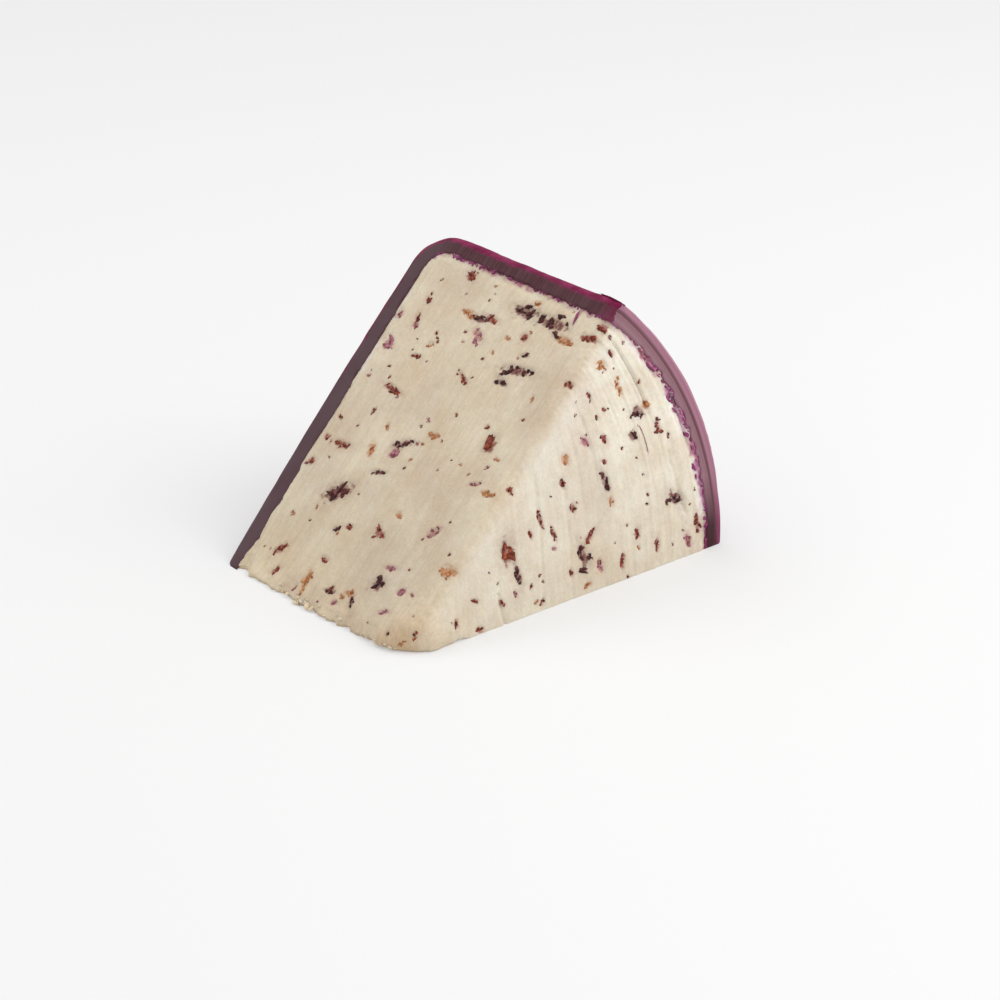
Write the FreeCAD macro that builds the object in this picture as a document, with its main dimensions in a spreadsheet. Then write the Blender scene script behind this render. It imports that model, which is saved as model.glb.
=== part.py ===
import FreeCAD, Part
import math
import os
import Sketcher

# A block of wax-coated fruit cheese: one eighth of a round, cut in two at mid height, lying on a cut face.
#
# Frame: +X runs from the round's centre line to its rim, +Y from the mid-height cut to the waxed flat
# face, +Z up. The lower of the two radial cuts lies on z = 0, and the origin is at the middle of the
# block's footprint. The round's own centre line is horizontal, along Y, at the thin edge of the wedge.
#
# Two pieces: the paste, and the wax coat it was dipped in. The coat stays only on the round's side, its
# shoulder and its flat face, so both of its cut edges show, and it meets the paste face to face.

SIZES = {
    # the round, out to the outside of its wax
    "round_radius": 85,         # centre line to rim
    "half_height": 63.5,        # mid-height cut to the waxed flat face, at the rim
    "wedge_angle": 46,          # between the two radial cuts, in degrees
    "shoulder_radius": 9,       # rounding between the side and the flat face
    "hub_dip": 1.2,             # how far the flat face has sunk at the centre line
    # the wax coat, dipped and so uneven
    "wax_side_cut": 4.2,        # on the side, at the mid-height cut
    "wax_side_rim": 3.6,        # on the side, just under the shoulder
    "wax_face_rim": 4.3,        # on the flat face, just inside the shoulder
    "wax_face_hub": 2.8,        # on the flat face, at the centre line
    "wax_arris": 1.3,           # rounding of the wax along each cut that shows
    # the paste inside it
    "paste_shoulder": 6,        # rounding of the paste under the shoulder of the wax
    "ridge_radius": 3.5,        # soft ridge where the upper radial cut meets the mid-height cut
    "tip_radius": 1.5,          # rounding of the break at the tip, where it meets both cuts
    "tip_along_edge": 11,       # broken front tip: its length along the thin edge
    "tip_along_cut": 8.5,       # and along the mid-height cut
    "tip_bulge": 1.1,           # how far the break bows out
    "cutter_margin": 5,         # how far the sketch that cuts the tip stands outside the block
}
NEAR = 1e-4                     # two places closer than this are the same place

doc = FreeCAD.newDocument("fruit_cheese_block")
sheet = doc.addObject("Spreadsheet::Sheet", "Sizes")
for row, (alias, value) in enumerate(SIZES.items(), start=1):
    sheet.set(f"A{row}", str(value))
    sheet.setAlias(f"A{row}", alias)
doc.recompute()


def size(expression):
    """The present value of an expression written in the sheet's aliases."""
    value = sheet.evalExpression(expression)
    return float(getattr(value, "Value", value))


def bind(sketch, name, kind, *where, by):
    """Adds a dimension to a sketch and ties it to the sheet."""
    index = sketch.addConstraint(Sketcher.Constraint(kind, *where, size(by)))
    sketch.renameConstraint(index, name)
    sketch.setExpression(f"Constraints.{name}", by)


def new_body(label):
    """A body whose own origin is the round's centre line at the mid-height cut."""
    body = doc.addObject("PartDesign::Body", label)
    body.Label = label
    body.setExpression("Placement.Base.x", "-Sizes.round_radius / 2")
    body.setExpression("Placement.Base.y", "-Sizes.half_height / 2")
    return body


def new_sketch(body, name):
    """A sketch on the floor plane: x is the distance from the centre line, y the depth from the cut."""
    sketch = body.newObject("Sketcher::SketchObject", name)
    plane = next(feature for feature in body.Origin.OriginFeatures if feature.Role == "XY_Plane")
    sketch.AttachmentSupport = [(plane, "")]
    sketch.MapMode = "FlatFace"
    return sketch


def add_outline(sketch, name, side_at_cut, corner_x, corner_y, face_at_hub, radius):
    """Half the round's section: up its side, round the shoulder and in over the flat face to the centre.

    The shoulder rounds off the corner where the side and the face would meet. Returns the side and the
    face, whose free ends lie on the mid-height cut and on the centre line.
    """
    foot = FreeCAD.Vector(size(side_at_cut), 0, 0)
    corner = FreeCAD.Vector(size(corner_x), size(corner_y), 0)
    hub = FreeCAD.Vector(0, size(face_at_hub), 0)
    inward = FreeCAD.Vector(size(radius), 0, 0)
    down = FreeCAD.Vector(0, size(radius), 0)
    circle = Part.Circle(corner - inward - down, FreeCAD.Vector(0, 0, 1), size(radius))
    side = sketch.addGeometry(Part.LineSegment(foot, corner - down))
    shoulder = sketch.addGeometry(Part.ArcOfCircle(circle, 0, math.pi / 2))
    face = sketch.addGeometry(Part.LineSegment(corner - inward, hub))
    mark = sketch.addGeometry(Part.Point(corner), True)
    sketch.addConstraint([
        Sketcher.Constraint("Tangent", side, 2, shoulder, 1),
        Sketcher.Constraint("Tangent", shoulder, 2, face, 1),
        Sketcher.Constraint("PointOnObject", mark, 1, side),
        Sketcher.Constraint("PointOnObject", mark, 1, face),
        Sketcher.Constraint("PointOnObject", side, 1, -1),
        Sketcher.Constraint("PointOnObject", face, 2, -2),
    ])
    bind(sketch, f"{name}_foot", "DistanceX", -1, 1, side, 1, by=side_at_cut)
    bind(sketch, f"{name}_corner_x", "DistanceX", -1, 1, mark, 1, by=corner_x)
    bind(sketch, f"{name}_corner_y", "DistanceY", -1, 1, mark, 1, by=corner_y)
    bind(sketch, f"{name}_hub", "DistanceY", -1, 1, face, 2, by=face_at_hub)
    bind(sketch, f"{name}_radius", "Radius", shoulder, by=radius)
    return side, face


def add_paste_outline(sketch):
    """The line where the paste meets the wax, which both pieces share."""
    return add_outline(
        sketch, "paste",
        side_at_cut="Sizes.round_radius - Sizes.wax_side_cut",
        corner_x="Sizes.round_radius - Sizes.wax_side_rim",
        corner_y="Sizes.half_height - Sizes.wax_face_rim",
        face_at_hub="Sizes.half_height - Sizes.hub_dip - Sizes.wax_face_hub",
        radius="Sizes.paste_shoulder",
    )


def add_coat_outline(sketch):
    """The outside of the wax."""
    return add_outline(
        sketch, "coat",
        side_at_cut="Sizes.round_radius",
        corner_x="Sizes.round_radius",
        corner_y="Sizes.half_height",
        face_at_hub="Sizes.half_height - Sizes.hub_dip",
        radius="Sizes.shoulder_radius",
    )


def link(sketch, first, first_end, second, second_end):
    """A straight line that joins an end of one piece of a sketch to an end of another."""
    start = sketch.getPoint(first, first_end)
    end = sketch.getPoint(second, second_end)
    line = sketch.addGeometry(Part.LineSegment(start, end))
    sketch.addConstraint([
        Sketcher.Constraint("Coincident", line, 1, first, first_end),
        Sketcher.Constraint("Coincident", line, 2, second, second_end),
    ])


def turn(body, sketch, name):
    """Turns a section about the round's centre line, up from the floor, through the wedge's angle."""
    wedge = body.newObject("PartDesign::Revolution", name)
    wedge.Profile = sketch
    wedge.ReferenceAxis = (sketch, ["V_Axis"])
    wedge.setExpression("Angle", "Sizes.wedge_angle")
    wedge.Reversed = True
    doc.recompute()
    return wedge


def make_paste():
    """The cheese itself: an eighth of a round with a rounded shoulder and a broken front tip."""
    body = new_body("paste")
    section = new_sketch(body, "PasteSection")
    side, face = add_paste_outline(section)
    link(section, -1, 1, side, 1)
    link(section, face, 2, -1, 1)
    turn(body, section, "PasteWedge")

    # The tip broke off along a bowed line from the thin edge to the mid-height cut.
    chip = new_sketch(body, "TipChip")
    on_edge = FreeCAD.Vector(0, size("Sizes.tip_along_edge"), 0)
    on_cut = FreeCAD.Vector(size("Sizes.tip_along_cut"), 0, 0)
    chord = on_cut - on_edge
    outwards = FreeCAD.Vector(chord.y, -chord.x, 0).normalize()
    crown = (on_edge + on_cut) / 2 + outwards * size("Sizes.tip_bulge")
    bow = chip.addGeometry(Part.Arc(on_edge, crown, on_cut))
    outside = chip.addGeometry(Part.Point(-(on_edge + on_cut)), True)
    along = chip.getPoint(bow, 1).y > NEAR
    edge_end, cut_end = (1, 2) if along else (2, 1)
    chip.addConstraint([
        Sketcher.Constraint("PointOnObject", bow, edge_end, -2),
        Sketcher.Constraint("PointOnObject", bow, cut_end, -1),
    ])
    bind(chip, "along_edge", "DistanceY", -1, 1, bow, edge_end, by="Sizes.tip_along_edge")
    bind(chip, "along_cut", "DistanceX", -1, 1, bow, cut_end, by="Sizes.tip_along_cut")
    chord_squared = "(Sizes.tip_along_edge ^ 2 + Sizes.tip_along_cut ^ 2)"
    bind(chip, "bow", "Radius", bow, by=f"{chord_squared} / (8 * Sizes.tip_bulge) + Sizes.tip_bulge / 2")
    bind(chip, "outside_x", "DistanceX", outside, 1, -1, 1, by="Sizes.cutter_margin")
    bind(chip, "outside_y", "DistanceY", outside, 1, -1, 1, by="Sizes.cutter_margin")
    link(chip, bow, edge_end, outside, 1)
    link(chip, bow, cut_end, outside, 1)
    cut = body.newObject("PartDesign::Pocket", "BrokenTip")
    cut.Profile = chip
    cut.Type = "ThroughAll"
    cut.Reversed = True
    doc.recompute()

    ridge = round_edges(body, cut, "SoftRidge", is_ridge, "Sizes.ridge_radius")
    round_edges(body, ridge, "SoftBreak", is_break_corner, "Sizes.tip_radius")
    return body


def round_edges(body, feature, name, chosen, radius):
    """Rounds those edges of a feature that the test picks."""
    fillet = body.newObject("PartDesign::Fillet", name)
    edges = [f"Edge{i}" for i, edge in enumerate(feature.Shape.Edges, start=1) if chosen(edge)]
    fillet.Base = (feature, edges)
    fillet.setExpression("Radius", radius)
    doc.recompute()
    return fillet


def polar_middle(edge):
    """The middle of an edge: its distance from the centre line, its depth, its angle above the floor."""
    point = edge.valueAt((edge.FirstParameter + edge.LastParameter) / 2)
    return math.hypot(point.x, point.z), point.y, math.degrees(math.atan2(point.z, point.x))


def is_ridge(edge):
    """Whether an edge of the paste is the ridge between the upper radial cut and the mid-height cut."""
    _, depth, angle = polar_middle(edge)
    return abs(depth) < NEAR and abs(angle - size("Sizes.wedge_angle")) < NEAR


def is_break_corner(edge):
    """Whether an edge of the paste bounds the broken tip above the floor."""
    radius, depth, _ = polar_middle(edge)
    near_tip = depth < size("Sizes.tip_along_edge") and radius < size("2 * Sizes.tip_along_cut")
    return near_tip and edge.BoundBox.ZMax > NEAR


def shows_as_arris(edge):
    """Whether an edge of the coat is an outer corner along the upper radial cut or the mid-height cut."""
    radius, depth, angle = polar_middle(edge)
    wedge_angle = size("Sizes.wedge_angle")
    inner_radius = size("Sizes.round_radius - Sizes.wax_side_rim / 2")
    inner_depth = size("Sizes.half_height - Sizes.hub_dip - Sizes.wax_face_hub / 2")
    on_outside = radius > inner_radius or depth > inner_depth
    on_radial_cut = abs(angle - wedge_angle) < NEAR and radius > NEAR
    on_mid_cut = abs(depth) < NEAR and NEAR < angle < wedge_angle - NEAR
    return on_outside and (on_radial_cut or on_mid_cut)


def make_wax():
    """The coat over the side, shoulder and flat face, thick in one place and thin in another."""
    body = new_body("wax")
    section = new_sketch(body, "WaxSection")
    inner_side, inner_face = add_paste_outline(section)
    outer_side, outer_face = add_coat_outline(section)
    link(section, inner_side, 1, outer_side, 1)
    link(section, inner_face, 2, outer_face, 2)
    coat = turn(body, section, "WaxCoat")

    round_edges(body, coat, "WaxArris", shows_as_arris, "Sizes.wax_arris")
    return body


def check_and_write(pieces):
    """Stops if anything in the document failed, then writes each piece to its own file."""
    failed = [o.Name for o in doc.Objects if {"Invalid", "Error"} & set(o.State)]
    unsound = [p.Label for p in pieces if p.Shape.isNull() or not p.Shape.isValid()]
    if failed or unsound:
        raise RuntimeError(f"failed features {failed}, unsound pieces {unsound}")
    os.makedirs("parts", exist_ok=True)
    for piece in pieces:
        piece.Shape.exportStep(f"parts/{piece.Label}.step")
        box = piece.Shape.BoundBox
        print(f"{piece.Label}: {piece.Shape.Volume / 1000:.1f} cm3, {len(piece.Shape.Solids)} solid,",
              f"x {box.XMin:.2f} to {box.XMax:.2f}, y {box.YMin:.2f} to {box.YMax:.2f},",
              f"z {box.ZMin:.2f} to {box.ZMax:.2f}")


check_and_write([make_paste(), make_wax()])
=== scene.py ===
# %% [markdown]
# # A block of cranberry wensleydale
#
# The real thing is an eighth of a small round of crumbly cheese, cut in two at mid height. The round
# was dipped in burgundy wax, and the block lies on one of its radial cuts, so three bare surfaces
# show: the upper radial cut, the mid-height cut, and the edge of the wax where both cuts went through.
# This lesson loads the measured solids, then builds the finished surfaces over them.

# %% Load the frame
import bpy
import itertools
import math
import numpy as np
from mathutils import Matrix, Vector
from mathutils.bvhtree import BVHTree


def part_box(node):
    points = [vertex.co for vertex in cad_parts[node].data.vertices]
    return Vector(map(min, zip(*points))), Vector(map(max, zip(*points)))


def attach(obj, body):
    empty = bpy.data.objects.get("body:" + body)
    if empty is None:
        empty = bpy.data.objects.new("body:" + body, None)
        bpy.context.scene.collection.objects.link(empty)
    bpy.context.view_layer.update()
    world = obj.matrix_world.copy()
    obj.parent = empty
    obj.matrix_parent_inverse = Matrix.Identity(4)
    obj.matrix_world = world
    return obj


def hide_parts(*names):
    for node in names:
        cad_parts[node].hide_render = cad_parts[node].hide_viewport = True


MM = 0.001
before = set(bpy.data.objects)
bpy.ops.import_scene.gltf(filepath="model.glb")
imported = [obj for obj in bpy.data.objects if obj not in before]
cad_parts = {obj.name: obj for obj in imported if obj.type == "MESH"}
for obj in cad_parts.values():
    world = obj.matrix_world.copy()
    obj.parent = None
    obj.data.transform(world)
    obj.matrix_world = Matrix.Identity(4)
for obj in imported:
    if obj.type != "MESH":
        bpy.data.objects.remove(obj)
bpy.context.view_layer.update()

# %% [markdown]
# Every position below comes from the solids, so nothing has to be fitted by eye. The round's centre
# line runs along Y, at the thin edge of the wedge, so a point on the block is easiest to give as a
# distance from that line, a depth from the mid-height cut, and an angle above the floor.

# %% The round's own measures
_, paste_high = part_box("paste")
wax_low, wax_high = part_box("wax")
HUB_X = wax_low.x
CUT_Y = wax_low.y
RADIUS = wax_high.x - wax_low.x
DEPTH = wax_high.y - wax_low.y
PASTE_RADIUS = paste_high.x - HUB_X
PASTE_DEPTH = paste_high.y - CUT_Y


def polar(points):
    """Distance from the centre line, depth from the mid-height cut, and angle above the floor."""
    x = points[:, 0] - HUB_X
    return np.hypot(x, points[:, 2]), points[:, 1] - CUT_Y, np.arctan2(points[:, 2], x)


def radial_directions(angles):
    """The way straight out from the centre line at each angle, as rows of an array."""
    return np.stack([np.cos(angles), 0 * angles, np.sin(angles)], axis=1)


def rows(items, key):
    """A three-number property of each of a mesh's items, as rows of an array."""
    flat = np.empty(len(items) * 3, np.float32)
    items.foreach_get(key, flat)
    return flat.reshape(-1, 3).astype(float)


def mesh_points(mesh):
    """A mesh's vertex positions, as rows of an array."""
    return rows(mesh.vertices, "co")


solid_radii, _, solid_angles = polar(mesh_points(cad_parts["paste"].data))
WEDGE = solid_angles[solid_radii > PASTE_RADIUS / 2].max()
ALONG_CUT = np.array([math.cos(WEDGE), 0, math.sin(WEDGE)])
UP_CUT_NORMAL = np.array([-math.sin(WEDGE), 0, math.cos(WEDGE)])
print(f"radius {RADIUS / MM:.1f} mm, depth {DEPTH / MM:.1f} mm")
print(f"wedge {math.degrees(WEDGE):.1f} degrees")

# %% [markdown]
# Start with the camera, the floor and the light, so that each later step can be looked at. The camera
# stands well back with a long lens, because a short lens close by would make the near corner too
# large. It looks down a little and is tipped by about two degrees, as a hand-levelled camera often is.

# %% Camera
CAMERA_AZIMUTH = math.radians(-36.7)
CAMERA_ELEVATION = math.radians(24.2)
CAMERA_DISTANCE = 8.16 * RADIUS
CAMERA_ROLL = math.radians(-2.27)
CAMERA_LENS_MM = 113.4
CAMERA_TARGET = Vector((HUB_X + 0.748 * RADIUS, CUT_Y + 0.582 * RADIUS, 0))


def aim_camera(target):
    """Puts the scene's camera on its line of sight to the target."""
    data = bpy.data.cameras.new("camera")
    data.lens = CAMERA_LENS_MM
    data.clip_start = 0.01
    camera = bpy.data.objects.new("camera", data)
    bpy.context.scene.collection.objects.link(camera)
    flat = math.cos(CAMERA_ELEVATION)
    back = Vector((math.sin(CAMERA_AZIMUTH) * flat, -math.cos(CAMERA_AZIMUTH) * flat,
                   math.sin(CAMERA_ELEVATION)))
    right = (-back).cross(Vector((0, 0, 1))).normalized()
    up = right.cross(-back)
    tipped = right * math.cos(CAMERA_ROLL) + up * math.sin(CAMERA_ROLL)
    upward = up * math.cos(CAMERA_ROLL) - right * math.sin(CAMERA_ROLL)
    turn = Matrix((tipped, upward, back)).transposed().to_4x4()
    camera.matrix_world = Matrix.Translation(target + back * CAMERA_DISTANCE) @ turn
    bpy.context.scene.camera = camera


aim_camera(CAMERA_TARGET)
print(f"camera {CAMERA_DISTANCE:.2f} m away with a {CAMERA_LENS_MM} mm lens")

# %% [markdown]
# The floor is plain and pale. It could be made whiter with stronger lamps, but those would bleach the
# cheese too. Instead a little glow is mixed into it for the camera only, so that the cheese gets no
# more light from it, and its soft shadow stays.

# %% Floor
FLOOR_SIZE = 6.0
FLOOR_SHADE = 0.80
FLOOR_LIFT = 0.34


def new_material(name):
    """An empty node material: its tree, its Principled shader and its output."""
    material = bpy.data.materials.new(name)
    material.use_nodes = True
    tree = material.node_tree
    return material, tree, tree.nodes["Principled BSDF"], tree.nodes["Material Output"]


def floor_material():
    """Matt pale grey, mixed towards plain white where the camera sees it directly."""
    material, tree, shader, output = new_material("pale_floor")
    shader.inputs["Base Color"].default_value = (FLOOR_SHADE, FLOOR_SHADE, FLOOR_SHADE, 1)
    shader.inputs["Roughness"].default_value = 0.9
    shader.inputs["Specular IOR Level"].default_value = 0.1
    glow = tree.nodes.new("ShaderNodeEmission")
    path = tree.nodes.new("ShaderNodeLightPath")
    share = tree.nodes.new("ShaderNodeMath")
    share.operation = "MULTIPLY"
    share.inputs[1].default_value = FLOOR_LIFT
    mix = tree.nodes.new("ShaderNodeMixShader")
    tree.links.new(path.outputs["Is Camera Ray"], share.inputs[0])
    tree.links.new(share.outputs[0], mix.inputs[0])
    tree.links.new(shader.outputs[0], mix.inputs[1])
    tree.links.new(glow.outputs[0], mix.inputs[2])
    tree.links.new(mix.outputs[0], output.inputs["Surface"])
    return material


def add_floor():
    """A wide plane under the block."""
    bpy.ops.object.select_all(action="DESELECT")
    bpy.ops.mesh.primitive_plane_add(size=FLOOR_SIZE)
    floor = bpy.context.object
    floor.name = "floor"
    floor.data.materials.append(floor_material())


add_floor()
print(f"floor {FLOOR_SIZE} m wide")

# %% [markdown]
# The light is a large soft source on the right, a second weaker one behind and above, and pale
# surroundings that fill the shadows. One hard lamp would show the knife lines more strongly, but it
# would also turn the crumbly surface into black and white. The soft pair gives the brighter
# mid-height cut and the slightly duller upper cut, which painted light on the cheese strengthens,
# and a soft shadow to the left.

# %% Lamps and surroundings
KEY_WATTS = 5.0
TOP_WATTS = 2.5
SURROUND = 0.60
LAMP_TARGET = Vector((0, 0, 0.02))


def add_area_light(name, azimuth, elevation, distance, size, watts):
    """A square lamp that faces the block from one side of the camera's line."""
    data = bpy.data.lights.new(name, "AREA")
    data.size = size
    data.energy = watts
    lamp = bpy.data.objects.new(name, data)
    bpy.context.scene.collection.objects.link(lamp)
    flat = math.cos(math.radians(elevation))
    turn = math.radians(azimuth)
    away = Vector((math.sin(turn) * flat, -math.cos(turn) * flat, math.sin(math.radians(elevation))))
    lamp.location = LAMP_TARGET + away * distance
    lamp.rotation_euler = away.to_track_quat("Z", "Y").to_euler()


add_area_light("key", azimuth=38, elevation=42, distance=0.9, size=0.7, watts=KEY_WATTS)
add_area_light("top", azimuth=-150, elevation=62, distance=0.9, size=0.8, watts=TOP_WATTS)


def light_surroundings():
    """Even pale surroundings: full white to the camera, softer to everything else."""
    world = bpy.data.worlds.new("surroundings")
    world.use_nodes = True
    bpy.context.scene.world = world
    tree = world.node_tree
    background = tree.nodes["Background"]
    background.inputs["Color"].default_value = (1, 1, 1, 1)
    path = tree.nodes.new("ShaderNodeLightPath")
    strength = tree.nodes.new("ShaderNodeMapRange")
    strength.inputs["To Min"].default_value = SURROUND
    strength.inputs["To Max"].default_value = 1.0
    tree.links.new(path.outputs["Is Camera Ray"], strength.inputs["Value"])
    tree.links.new(strength.outputs[0], background.inputs["Strength"])


light_surroundings()
bpy.context.scene.view_settings.view_transform = "Standard"
print("lamps", KEY_WATTS, "W and", TOP_WATTS, "W, surroundings", SURROUND)

# %% [markdown]
# Crumbly cheese is rough at several sizes at once. A Displace modifier with a texture could roughen
# it, but then the colour couldn't follow the same bumps. One repeatable random field, worked out in
# code, is sampled at any scale and stretched along the way the knife went. It shapes the dents, the
# drag lines and the ragged edges, and it places colour too.

# %% A repeatable random field
SEED_SHIFT = 7.31
OCTAVE_FADE = 0.55
FIELD_GAIN = 1.5


def lattice(cell, seed):
    """A fixed value from -1 to 1 at each whole-number point, by mixing it with large primes."""
    mixed = cell[:, 0] * 73856093 ^ cell[:, 1] * 19349663 ^ cell[:, 2] * 83492791 ^ (seed + 1) * 971
    mixed = (mixed ^ (mixed >> 13)) * 1274126177 & 0x7FFFFFFF
    return (mixed ^ (mixed >> 15)) % 65536 / 32767.5 - 1


def field(points, scale, seed=0, octaves=1):
    """Smooth noise from about -1 to 1. The scale is the size of its bumps, for all axes or each."""
    total, weight, weights = 0, 1.0, 0.0
    for octave in range(octaves):
        grid = points / (np.asarray(scale) / 2 ** octave) + SEED_SHIFT * (seed + 1)
        cell = np.floor(grid).astype(np.int64)
        part = grid - cell
        ease = part * part * (3 - 2 * part)
        layer = 0
        for corner in itertools.product((0, 1), repeat=3):
            share = np.where(corner, ease, 1 - ease).prod(axis=1)
            layer = layer + share * lattice(cell + corner, seed * 31 + octave)
        total = total + weight * layer
        weights += weight
        weight *= OCTAVE_FADE
    return total / weights * FIELD_GAIN


def ramp(values, start, end):
    """0 before the start, 1 after the end, smooth between. The start may be the larger."""
    share = np.clip((values - start) / (end - start), 0, 1)
    return share * share * (3 - 2 * share)


along_x = np.linspace(0, 50 * MM, 2001)[:, None] * (1, 0, 0)
print("field from", field(along_x, 2 * MM).min().round(2), "to", field(along_x, 2 * MM).max().round(2))

# %% [markdown]
# The two bare cuts are flat, so each gets its own map, as a drawing on a table has. On the upper
# radial cut a place is how far along the cut and how deep; on the mid-height cut it is how far from
# the centre line and how high. World coordinates would work as well, but a fruit's place on a slope
# is hard to read in them.

# %% The two bare cuts as flat maps
class Cut:
    """A bare cut: an origin on the centre line, its two directions and the way it faces."""

    def __init__(self, first, second, normal):
        self.origin = np.array([HUB_X, CUT_Y, 0.0])
        self.first = np.array(first, float)
        self.second = np.array(second, float)
        self.normal = np.array(normal, float)

    def flat(self, points):
        """The two map distances and the height above the cut."""
        reach = points - self.origin
        return reach @ self.first, reach @ self.second, reach @ self.normal

    def place(self, along, across, lift=0.0):
        """The point at two map distances, lifted off the cut."""
        return self.origin + along * self.first + across * self.second + lift * self.normal


UPPER = Cut(ALONG_CUT, (0, 1, 0), UP_CUT_NORMAL)
MIDDLE = Cut((1, 0, 0), (0, 0, 1), (0, -1, 0))


def over_cuts(points):
    """How far each point stands above the upper cut, and above the mid-height cut."""
    return UPPER.flat(points)[2], MIDDLE.flat(points)[2]


print("the upper cut faces", UPPER.normal.round(2), "and the mid-height cut", MIDDLE.normal)

# %% [markdown]
# The wax follows the round's outside: its rim, its flat face and the rounded shoulder between them.
# Seen from a line set in by the shoulder's radius, every place on that outside is equally far away,
# which gives both the depth under the wax's surface and the way inwards for any point.

# %% Depth under the outside of the round
SHOULDER = 9 * MM
WAX_AT_CUT, WAX_AT_SHOULDER = 4.2 * MM, 3.9 * MM
WAX_AT_HUB, WAX_AT_FACE_RIM = 2.8 * MM, 4.3 * MM
FACE_TURN = 0.8


def under_outside(points):
    """Depth under the round's outside, the wax's thickness there, and the direction inwards."""
    radii, depths, angles = polar(points)
    out = np.maximum(radii - (RADIUS - SHOULDER), 0)
    back = np.maximum(depths - (DEPTH - SHOULDER), 0)
    away = np.maximum(np.hypot(out, back), 1e-9)
    sideways = radial_directions(angles) * (out / away)[:, None]
    inwards = -(sideways + np.array([0, 1, 0]) * (back / away)[:, None])
    on_rim = WAX_AT_CUT + (WAX_AT_SHOULDER - WAX_AT_CUT) * depths / DEPTH
    on_face = WAX_AT_HUB + (WAX_AT_FACE_RIM - WAX_AT_HUB) * radii / RADIUS
    thickness = np.where(back > out, on_face, on_rim)
    return SHOULDER - away, thickness, inwards


def near_rim(inwards):
    """Whether each place lies on the rim's side of the outside, and not on the flat face."""
    return np.abs(inwards[:, 1]) < FACE_TURN


print(f"wax {WAX_AT_HUB / MM:.1f} to {WAX_AT_FACE_RIM / MM:.1f} mm thick")

# %% [markdown]
# A pressed round is not a true drum: its rim swells a little between the cuts, and its waxed face is
# slightly domed. The solids keep the plain drum, which is easy to measure. Moving every point by one
# rule adds the swell, and because paste and wax both get it, they stay face to face.

# %% Swell of the round
RIM_SWELL = 0.9 * MM
FACE_SWELL = 1.2 * MM


def swollen(points):
    """Points moved with the round's own swell: outwards at the rim, backwards at the waxed face."""
    radii, depths, angles = polar(points)
    radial = radial_directions(angles)
    turned = np.sin(math.pi * np.clip(angles / WEDGE, 0.0, 1.0)) ** 0.7
    rim = RIM_SWELL * turned * ramp(radii, 0.70 * RADIUS, 0.97 * RADIUS)
    spread = np.sin(math.pi * np.clip(radii / RADIUS, 0.0, 1.0)) ** 0.6
    face = FACE_SWELL * spread * ramp(depths, 0.955 * DEPTH, 0.985 * DEPTH)
    return points + radial * rim[:, None] + np.array([0, 1, 0]) * face[:, None]


print(f"swell {RIM_SWELL / MM:.1f} mm at the rim, {FACE_SWELL / MM:.1f} mm on the face")

# %% [markdown]
# Now the fruit. All of it could be scattered at random, but the largest pieces give a block its look,
# so those are listed one by one. Each entry gives a place as shares of the cut's length and depth,
# then the length and width in millimetres and the turn in degrees. On the upper cut most lie across
# the cut; on the mid-height cut the wire has drawn them out upwards.

# %% Where the large pieces of fruit lie
UPPER_FRUIT = {
    "dark": [
        (0.83, 0.54, 4, 2, 100), (0.89, 0.37, 8, 2.6, 95), (0.89, 0.23, 11, 2.7, 90),
        (0.75, 0.25, 9.5, 2.2, 100), (0.71, 0.29, 4, 1.4, 80), (0.79, 0.26, 2, 0.9, 100),
        (0.47, 0.54, 5.5, 1.9, 115), (0.29, 0.69, 8, 4, 130), (0.38, 0.57, 4, 1.2, 105),
        (0.21, 0.60, 2, 1.3, 95), (0.14, 0.28, 3.7, 3, 100), (0.075, 0.35, 3, 1.3, 30),
        (0.07, 0.47, 2.6, 1.0, 100)],
    "red": [
        (0.92, 0.70, 3.8, 2.4, 65), (0.84, 0.49, 4.5, 1.7, 80), (0.89, 0.05, 3.8, 2, 100),
        (0.93, 0.02, 3.5, 1.2, 90), (0.83, 0.31, 2.5, 2, 90), (0.68, 0.46, 4.3, 1.1, 70),
        (0.77, 0.02, 2.2, 1.3, 95), (0.77, 0.82, 2.4, 1.3, 15), (0.58, 0.73, 6.5, 1.7, 85),
        (0.40, 0.80, 4.7, 2, 95), (0.40, 0.89, 1.5, 1.3, 0), (0.33, 0.89, 2, 1.8, 110),
        (0.10, 0.79, 4.4, 2, 140), (0.05, 0.75, 2.5, 1.8, 135), (0.13, 0.57, 2.5, 1.6, 85),
        (0.23, 0.55, 2, 1.2, 115), (0.25, 0.41, 3.3, 1.9, 95)],
    "amber": [
        (0.83, 0.60, 4.5, 1.9, 85), (0.86, 0.13, 6, 1.8, 90), (0.92, 0.34, 2.2, 1.2, 105),
        (0.72, 0.69, 2.3, 1.1, 120), (0.42, 0.66, 3.4, 2.2, 15), (0.52, 0.43, 3.4, 1.5, 115),
        (0.49, 0.65, 1.8, 0.9, 25), (0.31, 0.37, 2.2, 1.6, 85), (0.25, 0.04, 4.3, 2, 95),
        (0.45, 0.07, 3.8, 1.2, 95), (0.06, 0.59, 6, 1.6, 10), (0.09, 0.38, 2.5, 1.4, 110)],
    "jam": [
        (0.79, 0.51, 4.2, 2.2, 70), (0.75, 0.81, 2, 1.4, 115), (0.68, 0.88, 4, 3, 75),
        (0.76, 0.91, 2.6, 2, 15), (0.44, 0.56, 3.7, 2.6, 130), (0.19, 0.27, 3.4, 1.3, 105),
        (0.46, 0.14, 3.1, 0.9, 115), (0.09, 0.18, 3.4, 1.2, 115), (0.15, 0.16, 2.9, 1.7, 120),
        (0.31, 0.19, 4.4, 1.5, 140), (0.05, 0.42, 2, 1.3, 120)],
    "whole": [(0.56, 0.18, 4.4, 3.5, 20)],
}
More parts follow.
